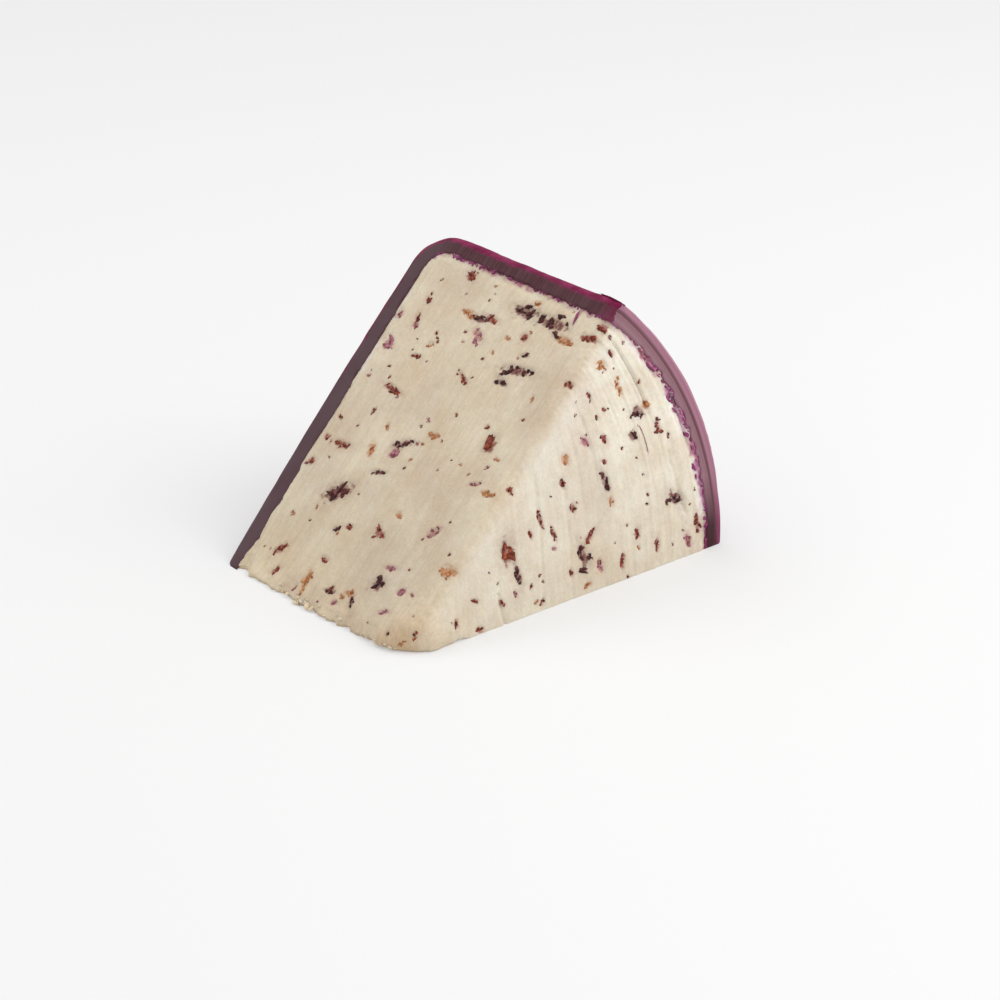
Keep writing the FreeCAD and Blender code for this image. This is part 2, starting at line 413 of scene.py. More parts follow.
MIDDLE_FRUIT = {
    "dark": [
        (0.36, 0.11, 4.6, 1.6, 105), (0.63, 0.28, 5.7, 1.9, 110), (0.56, 0.10, 7, 2.3, 110),
        (0.85, 0.17, 5, 2.7, 140), (0.74, 0.43, 3.5, 2.3, 155), (0.72, 0.37, 2.8, 1.5, 135),
        (0.76, 0.18, 0.9, 0.5, 155)],
    "red": [
        (0.58, 0.15, 4.1, 1.4, 40), (0.92, 0.08, 5, 1.6, 100), (0.80, 0.37, 3.5, 1.2, 115),
        (0.63, 0.39, 2.8, 1.1, 120), (0.50, 0.31, 2.7, 1.1, 115), (0.53, 0.24, 2.5, 1.2, 100),
        (0.43, 0.24, 4.3, 0.9, 105), (0.47, 0.19, 3.5, 0.9, 110), (0.40, 0.21, 2.2, 0.9, 110),
        (0.68, 0.05, 3.6, 1.5, 85), (0.79, 0.06, 3.2, 1.1, 90), (0.63, 0.33, 1.7, 0.8, 130),
        (0.23, 0.09, 2.1, 1, 155), (0.17, 0.05, 2.1, 1, 95), (0.24, 0.01, 2, 1.5, 150),
        (0.43, 0.02, 1.9, 0.8, 65), (0.52, 0.07, 1.9, 1, 105), (0.66, 0.60, 2.3, 0.9, 125),
        (0.59, 0.51, 2.2, 0.7, 115), (0.61, 0.45, 1.2, 0.7, 120)],
    "amber": [
        (0.76, 0.44, 2.5, 1.8, 125), (0.51, 0.37, 2.7, 1.8, 120), (0.65, 0.22, 2.4, 1, 105),
        (0.57, 0.02, 2.5, 1.5, 45), (0.68, 0.51, 4.7, 1.2, 105), (0.63, 0.58, 2.7, 1.8, 155)],
    "jam": [
        (0.89, 0.04, 4, 1.8, 115), (0.57, 0.40, 3.4, 1.7, 125), (0.61, 0.06, 3.4, 1.7, 105),
        (0.47, 0.15, 1.4, 0.8, 155), (0.76, 0.57, 4.2, 1.8, 125), (0.35, 0.07, 1.7, 0.7, 105)],
    "whole": [(0.33, 0.185, 6.8, 3.6, 100)],
}
KINDS = ("dark", "red", "amber", "jam", "whole")
for fruit in (UPPER_FRUIT, MIDDLE_FRUIT):
    print({kind: len(fruit[kind]) for kind in KINDS})

# %% [markdown]
# Between the large pieces lie many small bits, most of them red. They are scattered at random, with a
# fixed seed so that every run gives the same block, and their sizes follow a steep curve: many specks
# and few crumbs.

# %% Small bits between them
RANDOM = np.random.default_rng(45)
UPPER_BITS, MIDDLE_BITS = 85, 42
SMALLEST_BIT = 0.28 * MM
BIT_GROWTH = 0.22
KIND_SHARES = (0.05, 0.53, 0.20, 0.22)
CUT_HEIGHT = 0.72 * PASTE_RADIUS
KEEP_CLEAR = 1.5 * MM


class Bit:
    """One piece of fruit on a cut: its place there, half length, half width and turn."""

    def __init__(self, cut, kind, along, across, length, width, degrees):
        self.cut = cut
        self.kind = kind
        self.along = along
        self.across = across
        self.half_length = length / 2
        self.half_width = width / 2
        self.turn = math.radians(degrees)

    def reach(self, along, across):
        """Distance from the bit's middle, as a share of its half length and half width."""
        over, up = along - self.along, across - self.across
        lengthwise = over * math.cos(self.turn) + up * math.sin(self.turn)
        widthwise = up * math.cos(self.turn) - over * math.sin(self.turn)
        return np.hypot(lengthwise / self.half_length, widthwise / self.half_width)


def placed_bits(cut, fruit, scale_along, scale_across):
    """The listed pieces of one cut."""
    return [Bit(cut, kind, along * scale_along, across * scale_across, length * MM, width * MM, turn)
            for kind in KINDS for along, across, length, width, turn in fruit[kind]]


def scattered_bits(cut, count, length, width, turn, spread):
    """Small random bits that keep inside the paste on one cut."""
    bits = []
    while len(bits) < count:
        along, across = RANDOM.random(2) * (length, width)
        if not inside_cut(cut, along, across):
            continue
        size = SMALLEST_BIT + RANDOM.exponential(BIT_GROWTH) * MM
        kind = RANDOM.choice(KINDS[:4], p=KIND_SHARES)
        degrees = turn + RANDOM.normal() * spread
        bits.append(Bit(cut, kind, along, across, size * RANDOM.uniform(1, 2.4), size, degrees))
    return bits


def inside_cut(cut, along, across):
    """Whether a place on a cut is on paste, clear of the wax and the thin edge."""
    reach = PASTE_RADIUS - KEEP_CLEAR
    if cut is UPPER:
        return KEEP_CLEAR < along < reach and KEEP_CLEAR < across < PASTE_DEPTH - KEEP_CLEAR
    return across < along * math.tan(WEDGE) and math.hypot(along, across) < reach


bits = placed_bits(UPPER, UPPER_FRUIT, RADIUS, DEPTH)
bits += placed_bits(MIDDLE, MIDDLE_FRUIT, RADIUS, RADIUS)
bits += scattered_bits(UPPER, UPPER_BITS, PASTE_RADIUS, PASTE_DEPTH, turn=60, spread=50)
bits += scattered_bits(MIDDLE, MIDDLE_BITS, PASTE_RADIUS, CUT_HEIGHT, turn=105, spread=18)
print(len(bits), "pieces of fruit")

# %% [markdown]
# The cheese could be sculpted from a subdivided box, but its size would then drift away from the
# measured one. So the paste starts as a copy of its solid. Its loose triangles are welded, and a voxel
# remesh gives it an even skin of small faces, fine enough to hold every dent. The faces that lie under
# the wax or against the floor never show, so they are thinned out again.

# %% Helpers that turn a solid into a fine, even skin
def select_only(piece):
    """Deselects everything, then selects one object and makes it active."""
    bpy.ops.object.select_all(action="DESELECT")
    piece.select_set(True)
    bpy.context.view_layer.objects.active = piece


def fine_skin(node, name, voxel):
    """A welded, evenly remeshed copy of a solid."""
    piece = bpy.data.objects.new(name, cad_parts[node].data.copy())
    bpy.context.scene.collection.objects.link(piece)
    piece.data.materials.clear()
    select_only(piece)
    bpy.ops.object.mode_set(mode="EDIT")
    bpy.ops.mesh.select_all(action="SELECT")
    bpy.ops.mesh.remove_doubles(threshold=0.002 * MM)
    bpy.ops.object.mode_set(mode="OBJECT")
    remesh = piece.modifiers.new("skin", "REMESH")
    remesh.mode = "VOXEL"
    remesh.voxel_size = voxel
    bpy.ops.object.modifier_apply(modifier="skin")
    return piece


def thin_out(piece, chosen, share):
    """Keeps only a share of the chosen faces."""
    select_only(piece)
    mesh = piece.data
    mesh.vertices.foreach_set("select", np.zeros(len(mesh.vertices), bool))
    mesh.edges.foreach_set("select", np.zeros(len(mesh.edges), bool))
    mesh.polygons.foreach_set("select", chosen)
    bpy.ops.object.mode_set(mode="EDIT")
    bpy.context.tool_settings.mesh_select_mode = (False, False, True)
    bpy.ops.mesh.decimate(ratio=share)
    bpy.ops.object.mode_set(mode="OBJECT")


# %% Remesh the paste
PASTE_VOXEL = 0.341 * MM
HIDDEN_SHARE = 0.06
SEEN_DEPTH = 1.2 * MM
SEEN_TIP = 16 * MM

paste = fine_skin("paste", "paste_block", PASTE_VOXEL)
centres = rows(paste.data.polygons, "center")
over_upper, over_middle = over_cuts(centres)
radii, _, _ = polar(centres)
hidden = (over_upper < -SEEN_DEPTH) & (over_middle < -SEEN_DEPTH) & (radii > SEEN_TIP)
print("remeshed", len(paste.data.polygons), "hidden", hidden.sum())
thin_out(paste, hidden, HIDDEN_SHARE)
print("thinned to", len(paste.data.polygons))

# %% [markdown]
# The knife left fine drag lines: on the upper cut they run out from the thin edge, on the mid-height
# cut they rise from the floor and bend with the rim. A few straight scratches and short cracks are
# placed one by one, and every piece of fruit sits in a torn pit. All of this could be bump in the
# material, but a groove in the mesh also shows in the outline and catches a real shadow.

# %% Where the marks are
SCRATCHES = ((0.84, 0.13, 0.71, 0.21), (0.90, 0.30, 0.86, 0.40), (0.66, 0.86, 0.47, 0.90))
CRACKS = ((0.315, 0.00, 0.298, 0.085), (0.83, 0.30, 0.88, 0.12))


def drag_line(x, z):
    """Which drag line of the mid-height cut a place is on: the lines bend with the rim near it."""
    share = ramp(np.hypot(x, z) / PASTE_RADIUS, 0.45, 0.98)
    bend = PASTE_RADIUS - np.sqrt(np.maximum(PASTE_RADIUS ** 2 - z ** 2, 0))
    return x + (0.20 + 0.55 * share) * bend


def pit_depths(cut, along, across, rough):
    """How deep the torn pits round the fruit are at each place, as a share of their full depth."""
    depth = np.zeros(len(along))
    for bit in bits:
        if bit.cut is not cut:
            continue
        near = np.abs(along - bit.along) + np.abs(across - bit.across) < 2 * bit.half_length + MM
        reach = bit.reach(along[near], across[near]) + 0.35 * rough[near]
        depth[near] = np.maximum(depth[near], 1 - ramp(reach, 0.75, 1.35))
    return depth


def near_marks(along, across, marks, scales, width):
    """How near each place is to one of the straight marks, from 0 to 1 on the mark."""
    near = np.zeros(len(along))
    for start_along, start_across, end_along, end_across in marks:
        start = np.array([start_along * scales[0], start_across * scales[1]])
        run = np.array([end_along * scales[0], end_across * scales[1]]) - start
        passed = (along - start[0]) * run[0] + (across - start[1]) * run[1]
        share = np.clip(passed / (run @ run), 0, 1)
        away = np.hypot(along - start[0] - share * run[0], across - start[1] - share * run[1])
        near = np.maximum(near, np.exp(-(away / width) ** 2))
    return near


print(len(SCRATCHES), "scratches and", len(CRACKS), "cracks")

# %% [markdown]
# Each cut gets one height at every point: broad waves where the block gave under the knife, a fine
# grain of curd, the drag lines, and the pits and marks cut into it. The upper cut is more crumbly
# towards the thin edge, and the mid-height cut has its deep grooves near the rim.

# %% Relief of the two cuts
UPPER_WAVES, UPPER_GRAIN, UPPER_LINES = 0.22 * MM, 0.05 * MM, 0.06 * MM
UPPER_CRUMBLE, UPPER_PIT, UPPER_SCRATCH = 0.24 * MM, 0.24 * MM, 0.14 * MM
MIDDLE_WAVES, MIDDLE_GRAIN = 0.18 * MM, 0.05 * MM
MIDDLE_PIT, MIDDLE_CRACK = 0.26 * MM, 0.34 * MM
SCRATCH_WIDTH, CRACK_WIDTH, CRACK_SHIFT = 0.35 * MM, 0.30 * MM, 0.25 * MM
# In millimetres, and what the rim adds to them.
MIDDLE_LINES, MIDDLE_GROOVES = 0.055, 0.14
RIM_LINES, RIM_GROOVES, RIM_CRUMBLE = 0.09, 0.60, 0.09


def upper_relief(points):
    """Height of the upper radial cut above its plane."""
    along, across, _ = UPPER.flat(points)
    rough = field(points, 0.9 * MM, 3, 2)
    lines = np.stack([along * 0.05, across, 0 * along], axis=1)
    deepening = 0.5 + 1.2 * ramp(across, 0.5 * DEPTH, DEPTH)
    crumbly = 1 - ramp(along, 2 * MM, 11 * MM)
    height = UPPER_WAVES * field(points, 14 * MM, 1, 2)
    height += UPPER_GRAIN * field(points, 2.2 * MM, 2, 3)
    height += UPPER_LINES * field(lines, 0.6 * MM, 4, 2) * deepening
    height += UPPER_CRUMBLE * crumbly * field(points, 2.4 * MM, 5, 3)
    height -= UPPER_PIT * pit_depths(UPPER, along, across, rough)
    height -= UPPER_SCRATCH * near_marks(along, across, SCRATCHES, (RADIUS, DEPTH), SCRATCH_WIDTH)
    return height


def middle_relief(points):
    """Height of the mid-height cut above its plane."""
    x, z, _ = MIDDLE.flat(points)
    rough = field(points, 0.8 * MM, 6, 2)
    line = drag_line(x, z)
    lines = np.stack([line, z * 0.045, 0 * x], axis=1)
    wide = np.stack([line, z * 0.02, 0 * x], axis=1)
    rimward = ramp(line, 0.6 * PASTE_RADIUS, 0.85 * PASTE_RADIUS)
    grooves = ramp(field(wide, 1.5 * MM, 10), 0.62, 0.95)
    clear_of_ridge = ramp(x * math.sin(WEDGE) - z * math.cos(WEDGE), 1.5 * MM, 8 * MM)
    height = MIDDLE_WAVES * field(points, 13 * MM, 7, 2)
    height += MIDDLE_GRAIN * field(points, 1.6 * MM, 8, 3)
    height += (MIDDLE_LINES + RIM_LINES * rimward) * MM * field(lines, 0.7 * MM, 9, 2)
    height -= (MIDDLE_GROOVES + RIM_GROOVES * rimward) * MM * grooves * clear_of_ridge
    height -= MIDDLE_PIT * pit_depths(MIDDLE, x, z, rough)
    height += RIM_CRUMBLE * rimward * MM * field(points, 0.9 * MM, 14, 3)
    cracked = near_marks(x + CRACK_SHIFT * rough, z, CRACKS, (RADIUS, RADIUS), CRACK_WIDTH)
    return height - MIDDLE_CRACK * cracked


# %% [markdown]
# Two helpers place the vertices. One smooths part of a mesh, more where the weights are higher. The
# other moves all of them at once, but leaves the resting face flat on the floor, because a soft cheese
# settles on what it lies on.

# %% Helpers that smooth and place a mesh's vertices
FLOOR_BAND, FLOOR_CLEAR = 0.05 * MM, 0.02 * MM


def soften(piece, weights, rounds):
    """Smooths the piece's mesh where the weights say, with a Smooth modifier."""
    group = piece.vertex_groups.new(name="soft")
    for index in np.flatnonzero(weights > 0.01):
        group.add([int(index)], float(weights[index]), "REPLACE")
    smooth = piece.modifiers.new("soft", "SMOOTH")
    smooth.vertex_group = "soft"
    smooth.iterations = rounds
    select_only(piece)
    bpy.ops.object.modifier_apply(modifier="soft")
    piece.vertex_groups.clear()


def settle(piece, before, after):
    """Moves the vertices. What lay on the floor stays on it, and nothing else reaches it."""
    on_floor = before[:, 2] < FLOOR_BAND
    after[:, 2] = np.where(on_floor, before[:, 2], np.maximum(after[:, 2], FLOOR_CLEAR))
    piece.data.vertices.foreach_set("co", after.astype(np.float32).ravel())
    piece.data.update()


# %% [markdown]
# The heights are now laid on, but only where the skin faces the same way as its cut, so that they
# fade out over the soft ridge. A shallow gutter is left along the wax. The solid's tip is smoothed
# first, because its fillets meet there in a sharp line that no soft cheese has.

# %% Lay the relief on the paste
GUTTER = 0.22 * MM
TIP_ROUNDS = 170

points = mesh_points(paste.data)
radii, depths, _ = polar(points)
soften(paste, ramp(depths, 15 * MM, 9 * MM) * ramp(radii, 18 * MM, 12 * MM), TIP_ROUNDS)
points = swollen(mesh_points(paste.data))
normals = rows(paste.data.vertex_normals, "vector")
over_upper, over_middle = over_cuts(points)
faces_up = ramp(normals @ UPPER.normal, 0.25, 0.8) * (1 - ramp(-over_upper, 2 * MM, 4 * MM))
faces_front = ramp(normals @ MIDDLE.normal, 0.25, 0.8) * (1 - ramp(-over_middle, 2 * MM, 4 * MM))
height = faces_up * upper_relief(points) + faces_front * middle_relief(points)
below, thickness, _ = under_outside(points)
by_wax = 1 - ramp(below - thickness, 1.0 * MM, 2.2 * MM)
height -= GUTTER * np.maximum(faces_up, faces_front) * by_wax
shaped = points + normals * height[:, None]
print(f"relief from {height.min() / MM:.2f} to {height.max() / MM:.2f} mm")

# %% [markdown]
# The thin edge of a crumbly cheese never stays sharp: it has broken back to an irregular line that
# undercuts a little at the floor. The tip next to it was pressed and smeared, so it bulges. Both could
# be cut with a Boolean, but moving the vertices keeps one closed, even skin.

# %% Crumble the thin edge and bulge the tip
EDGE_ROUNDS = 7
# In millimetres.
RETREAT, BITES, NIBBLES, UNDERCUT = 0.45, 1.30, 0.25, 0.9
LEAST_RETREAT, MOST_RETREAT = -0.6, 2.8
TIP_BULGE, TIP_WAVES = 0.7, 0.30

radii, depths, _ = polar(points)
thin_edge = 1 - ramp(radii, 1.0 * MM, 6 * MM)
bites = field(points * (0, 1, 0), 3.4 * MM, 11, 3)
retreat = RETREAT + BITES * bites + NIBBLES * field(points, 1.5 * MM, 12, 2)
undercut = UNDERCUT * ramp(points[:, 2], 0.9 * MM, 0.2 * MM)
shaped[:, 0] += thin_edge * np.clip(retreat + undercut, LEAST_RETREAT, MOST_RETREAT) * MM
tip = ramp(depths, 17 * MM, 6 * MM) * ramp(radii, 21 * MM, 9 * MM)
shaped += normals * (tip * MM * (TIP_BULGE + TIP_WAVES * field(points, 3 * MM, 13, 3)))[:, None]
settle(paste, points, shaped)
soften(paste, thin_edge * ramp(points[:, 2], 0, FLOOR_BAND), EDGE_ROUNDS)
points = mesh_points(paste.data)
print(f"the edge is broken back by up to {(thin_edge * (retreat + undercut)).max():.1f} mm")

# %% [markdown]
# Colour follows the same places. It could be painted by hand or come from noise alone, but noise
# doesn't know where the fruit lies. So the stains and the painted light are worked out for each vertex
# and kept as a colour attribute, which the material multiplies into its cream. Clean cheese starts
# from painted light and shade for each cut: the upper cut is painted darker towards the thin edge, as
# shade, and the mid-height cut is painted paler as the lit side, palest high up.

# %% Painted light and shade on the clean cheese
UPPER_UNSHADED = np.array((0.99, 0.985, 1.0))
UPPER_PAINTED_SHADE = np.array((0.925, 0.915, 0.92))
MIDDLE_LOW_PAINTED_LIGHT = np.array((0.945, 0.98, 1.06))
MIDDLE_HIGH_PAINTED_LIGHT = np.array((1.07, 1.14, 1.28))


def cut_painted_light(points):
    """The painted light and shade of clean cheese at each vertex, and how far the vertex is on the
    mid-height cut.
    """
    over_upper, over_middle = over_cuts(points)
    radii, _, _ = polar(points)
    past_ridge = ramp(-over_upper, 0.2 * MM, 3.2 * MM)
    front = (past_ridge * (1 - ramp(-over_middle, 0.6 * MM, 2.4 * MM)))[:, None]
    # Painted light and shade: the mid-height cut is painted paler the higher it lies, and the upper
    # cut darker towards the thin edge.
    high = ramp(points[:, 2] + 0.3 * radii, 12 * MM, 62 * MM)[:, None]
    out = ramp(radii, 0.12 * RADIUS, 0.62 * RADIUS)[:, None]
    middle = MIDDLE_LOW_PAINTED_LIGHT + high * (MIDDLE_HIGH_PAINTED_LIGHT - MIDDLE_LOW_PAINTED_LIGHT)
    upper = UPPER_PAINTED_SHADE + out * (UPPER_UNSHADED - UPPER_PAINTED_SHADE)
    return front * middle + (1 - front) * upper, front[:, 0]


# %% [markdown]
# Fruit bleeds pink and brown into the cheese round it: a strong core in the pit, and a faint halo
# beyond. The edge of both is broken up with the random field, because juice follows the curd.

# %% Stains of the fruit
STAINS = {
    "dark": (0.22, 0.035, 0.050), "red": (0.46, 0.11, 0.11), "amber": (0.80, 0.42, 0.25),
    "jam": (0.62, 0.26, 0.36), "whole": (0.34, 0.08, 0.07)}
HALO = 0.15
STAIN_DEPTH = 1.5 * MM


def bleed(colour, stain_and_painted_light, amount):
    """Mixes a stain, and at the tip painted warm light, into the colours by an amount from 0 to 1 at
    each vertex.
    """
    return colour * (1 - amount[:, None] * (1 - np.array(stain_and_painted_light)))


def stain_by_fruit(colour, points):
    """Bleeds every piece of fruit into the colours round it."""
    rough = field(points, 0.75 * MM, 21, 3)
    patchy = 0.78 + 0.3 * field(points, 0.55 * MM, 24, 2)
    for cut in (UPPER, MIDDLE):
        along, across, over = cut.flat(points)
        facing = np.abs(over) < STAIN_DEPTH
        for bit in bits:
            if bit.cut is not cut:
                continue
            away = np.abs(along - bit.along) + np.abs(across - bit.across)
            near = facing & (away < 3 * bit.half_length + MM)
            reach = bit.reach(along[near], across[near]) + 0.5 * rough[near]
            core = np.clip(patchy[near], 0.45, 1) * (1 - ramp(reach, 0.66, 0.92))
            halo = HALO * (1 - ramp(reach, 0.8, 2.2))
            colour[near] = bleed(colour[near], STAINS[bit.kind], np.maximum(core, halo))


# %% [markdown]
# Three more things tint the cheese. Scratched places are dry and a little paler. The broken edge is
# paler too, and the smeared tip is painted warmer, as warm bounce light, with soft dull clouds over
# all of it. And the fringe next to the wax picks up its dye in tufts, with a band of pale cheese
# beside it.

# %% Stains of the knife, the air and the wax, and painted warm light at the tip
WAX_DYE = (0.50, 0.11, 0.36)
TIP_PAINTED_WARM_LIGHT = (0.96, 0.82, 0.70)
BROKEN_EDGE = np.array((1.01, 0.995, 0.96))
DULL_CLOUD = np.array((0.8, 1.0, 0.8))
PALE_BAND = np.array((0.07, 0.10, 0.20))
DRY_SCRATCH, CLOUDED = 0.06, 0.07
RIM_DYE, FACE_DYE = 0.85, 0.15


def weather(colour, points, front):
    """The colours with dry scratches, dull clouds, painted warm light on the tip and the broken edge.
    """
    along, across, _ = UPPER.flat(points)
    dry = (1 - front) * near_marks(along, across, SCRATCHES, (RADIUS, DEPTH), 0.45 * MM)
    colour = colour * (1 + dry[:, None] * DRY_SCRATCH)
    dull = CLOUDED * ramp(field(points, 17 * MM, 27, 2), 0.0, 0.7)
    colour *= 1 - dull[:, None] * DULL_CLOUD
    radii, depths, _ = polar(points)
    # Painted light: the tip is tinted warm, as warm light bounced onto it.
    tip = ramp(depths, 13 * MM, 3 * MM) * ramp(radii, 15 * MM, 5 * MM)
    tip = np.clip(tip * (0.65 + 0.5 * field(points, 5 * MM, 26, 2)), 0, 1)
    broken = ramp(radii, 16 * MM, 5 * MM) * (1 - tip)
    return bleed(colour, TIP_PAINTED_WARM_LIGHT, tip) * (1 + broken[:, None] * (BROKEN_EDGE - 1))


def stain_by_wax(colour, points):
    """The colours with the wax's dye in tufts along its edge, and the pale band beside it."""
    below, thickness, inwards = under_outside(points)
    from_wax = below - thickness + 0.7 * MM * field(points, 1.2 * MM, 22, 3)
    tufts = 0.45 + 0.55 * ramp(field(points, 3.5 * MM, 28, 2), -0.3, 0.4)
    strength = np.where(near_rim(inwards), RIM_DYE * tufts, FACE_DYE)
    pale = (1 - ramp(from_wax, 1.2 * MM, 2.2 * MM)) * ramp(field(points, 5 * MM, 25), -0.1, 0.4)
    colour = colour * (1 + pale[:, None] * PALE_BAND)
    return bleed(colour, WAX_DYE, strength * (1 - ramp(from_wax, 0.1 * MM, 1.1 * MM)))


# %% [markdown]
# The painted light and the stains are laid over each other in that order. They could be baked to a
# texture, but the skin's vertices are a third of a millimetre apart, which is fine enough, and they
# need no UV map.

# %% Keep the stains and the painted light on the paste
def keep_colours(mesh, name, colours):
    """Keeps a colour for each vertex, or one for all of them, as an attribute of the mesh."""
    colours = np.asarray(colours)
    full = np.ones((len(mesh.vertices), 4), np.float32)
    full[:, :colours.shape[-1]] = colours
    attribute = mesh.color_attributes.new(name, "FLOAT_COLOR", "POINT")
    attribute.data.foreach_set("color", full.ravel())


light_and_stain_tints, front = cut_painted_light(points)
stain_by_fruit(light_and_stain_tints, points)
stains_and_painted_light = stain_by_wax(weather(light_and_stain_tints, points, front), points)
# The colour attribute holds the painted light and shade as well as the stains.
keep_colours(paste.data, "stain_and_painted_light", stains_and_painted_light)
bpy.ops.object.shade_smooth()
print("stained", int((stains_and_painted_light.min(axis=1) < 0.6).sum()), "of", len(stains_and_painted_light), "vertices")

# %% [markdown]
# Every finish below is built from the same few nodes: noise on the object's own coordinates, a ramp of
# colours, a mix and a bump. Object coordinates are used and not a UV map, because the remeshed skins
# have no UV map and a pattern on them can't slide.

# %% Helpers for materials
def add_node(tree, kind, **settings):
    """A node with some of its settings."""
    node = tree.nodes.new(kind)
    for name, value in settings.items():
        setattr(node, name, value)
    return node


def object_noise(tree, scale, detail=3, stretch=(1, 1, 1), turn=(0, 0, 0)):
    """Noise on the object's own coordinates, stretched and turned if asked."""
    place = add_node(tree, "ShaderNodeTexCoord")
    mapping = add_node(tree, "ShaderNodeMapping")
    mapping.inputs["Scale"].default_value = stretch
    mapping.inputs["Rotation"].default_value = turn
    noise = add_node(tree, "ShaderNodeTexNoise")
    noise.inputs["Scale"].default_value = scale
    noise.inputs["Detail"].default_value = detail
    tree.links.new(place.outputs["Object"], mapping.inputs["Vector"])
    tree.links.new(mapping.outputs["Vector"], noise.inputs["Vector"])
    return noise.outputs["Fac"]


def colour_ramp(tree, factor, *stops):
    """Colours along a factor, each stop a position and a colour."""
    node = add_node(tree, "ShaderNodeValToRGB")
    elements = node.color_ramp.elements
    while len(elements) < len(stops):
        elements.new(0.5)
    for element, (position, colour) in zip(elements, stops):
        element.position = position
        element.color = (*colour, 1)
    tree.links.new(factor, node.inputs["Fac"])
    return node.outputs["Color"]


def add_bump(tree, shader, height, distance, strength=1.0, before=None):
    """Adds bump from a height to a shader, on top of an earlier bump."""
    bump = add_node(tree, "ShaderNodeBump")
    bump.inputs["Distance"].default_value = distance
    bump.inputs["Strength"].default_value = strength
    tree.links.new(height, bump.inputs["Height"])
    if before:
        tree.links.new(before.outputs["Normal"], bump.inputs["Normal"])
    tree.links.new(bump.outputs["Normal"], shader.inputs["Normal"])
    return bump


def mix_by(tree, factor, first, second, blend="MIX"):
    """Two colours or colour sockets, mixed by a number or by a factor socket."""
    mix = add_node(tree, "ShaderNodeMix", data_type="RGBA", blend_type=blend)
    for slot, value in ((0, factor), (6, first), (7, second)):
        if isinstance(value, float):
            mix.inputs[slot].default_value = value
        elif isinstance(value, tuple):
            mix.inputs[slot].default_value = (*value, 1)
        else:
            tree.links.new(value, mix.inputs[slot])
    return mix.outputs[2]


def finish_shader(shader, colour, roughness, specular=None):
    """Links a colour to a shader, and sets its roughness and how much it mirrors."""
    shader.id_data.links.new(colour, shader.inputs["Base Color"])
    shader.inputs["Roughness"].default_value = roughness
    if specular is not None:
        shader.inputs["Specular IOR Level"].default_value = specular


# %% [markdown]
# The cheese itself is cream with faint warm and pale clouds, fine streaks along the knife's way and
# tiny flecks where single curds catch less light. It is matt and a little see-through, so light
# softens at its ridge. A fine grain in the bump stands for the curd, which is too small for the mesh.

# %% Paste material
CREAM_PALE = (0.84, 0.752, 0.58)
CREAM = (0.78, 0.67, 0.50)
CREAM_WARM = (0.74, 0.608, 0.432)
CURD_SHADE = (0.95, 0.938, 0.92)
CURD_LIGHT = (1.0, 1.0, 1.0)
FLECK_SHADE = (0.945, 0.935, 0.92)


def paste_material():
    """Cream cheese with clouds, stains, painted light and shade, and a fine curd grain."""
    material, tree, shader, _ = new_material("cream_paste")
    clouds = object_noise(tree, 90, 4)
    cream = colour_ramp(tree, clouds, (0.30, CREAM_PALE), (0.52, CREAM), (0.72, CREAM_WARM))
    curd = colour_ramp(tree, object_noise(tree, 520, 4), (0.36, CURD_SHADE), (0.64, CURD_LIGHT))
    drawn = object_noise(tree, 1, 3, stretch=(55, 1300, 55))
    streaks = colour_ramp(tree, drawn, (0.36, CURD_SHADE), (0.60, CURD_LIGHT))
    crumbly = object_noise(tree, 1700, 5)
    flecks = colour_ramp(tree, crumbly, (0.40, FLECK_SHADE), (0.62, CURD_LIGHT))
    # The vertex colours hold painted light and shade as well as the stains.
    stain_and_painted_light = add_node(tree, "ShaderNodeVertexColor", layer_name="stain_and_painted_light")
    colour = cream
    for tint in (curd, streaks, flecks, stain_and_painted_light.outputs["Color"]):
        colour = mix_by(tree, 1.0, colour, tint, blend="MULTIPLY")
    finish_shader(shader, colour, roughness=0.55, specular=0.35)
    shader.inputs["Subsurface Weight"].default_value = 0.35
    shader.inputs["Subsurface Radius"].default_value = (1.0, 0.65, 0.35)
    shader.inputs["Subsurface Scale"].default_value = 1.6 * MM
    scored = add_bump(tree, shader, drawn, 0.12 * MM, 0.6)
    grain = add_bump(tree, shader, crumbly, 0.10 * MM, 0.8, before=scored)
    add_bump(tree, shader, object_noise(tree, 3200, 2), 0.05 * MM, 0.5, before=grain)
    return material


PASTE_MATERIAL = paste_material()
paste.data.materials.append(PASTE_MATERIAL)
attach(paste, "root")
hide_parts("paste")
print("paste", len(paste.data.polygons), "faces")

# %% [markdown]
# A piece of fruit is a torn, leathery scrap, and there are over two hundred of them. Each could be
# modelled alone, but then few would get made. So one round blank is roughened by noise, squashed and
# turned for each scrap, and a long piece is a broken row of them. All scraps of one colour are joined
# into one mesh. The same blanks make the crumbs and the shreds of wax further on.

# %% Blanks and a joined mesh of many scraps
def blank(subdivisions):
    """The points and triangles of a unit ball, made by the ico sphere operator."""
    bpy.ops.object.select_all(action="DESELECT")
    bpy.ops.mesh.primitive_ico_sphere_add(subdivisions=subdivisions, radius=1)
    ball = bpy.context.object
    corners = mesh_points(ball.data)
    triangles = np.empty(len(ball.data.polygons) * 3, np.int32)
    ball.data.polygons.foreach_get("vertices", triangles)
    bpy.data.objects.remove(ball)
    return corners, triangles.reshape(-1, 3)


BLANKS = {level: blank(level) for level in (2, 3)}
CRUMB_TINT = (1.02, 0.96, 0.94)


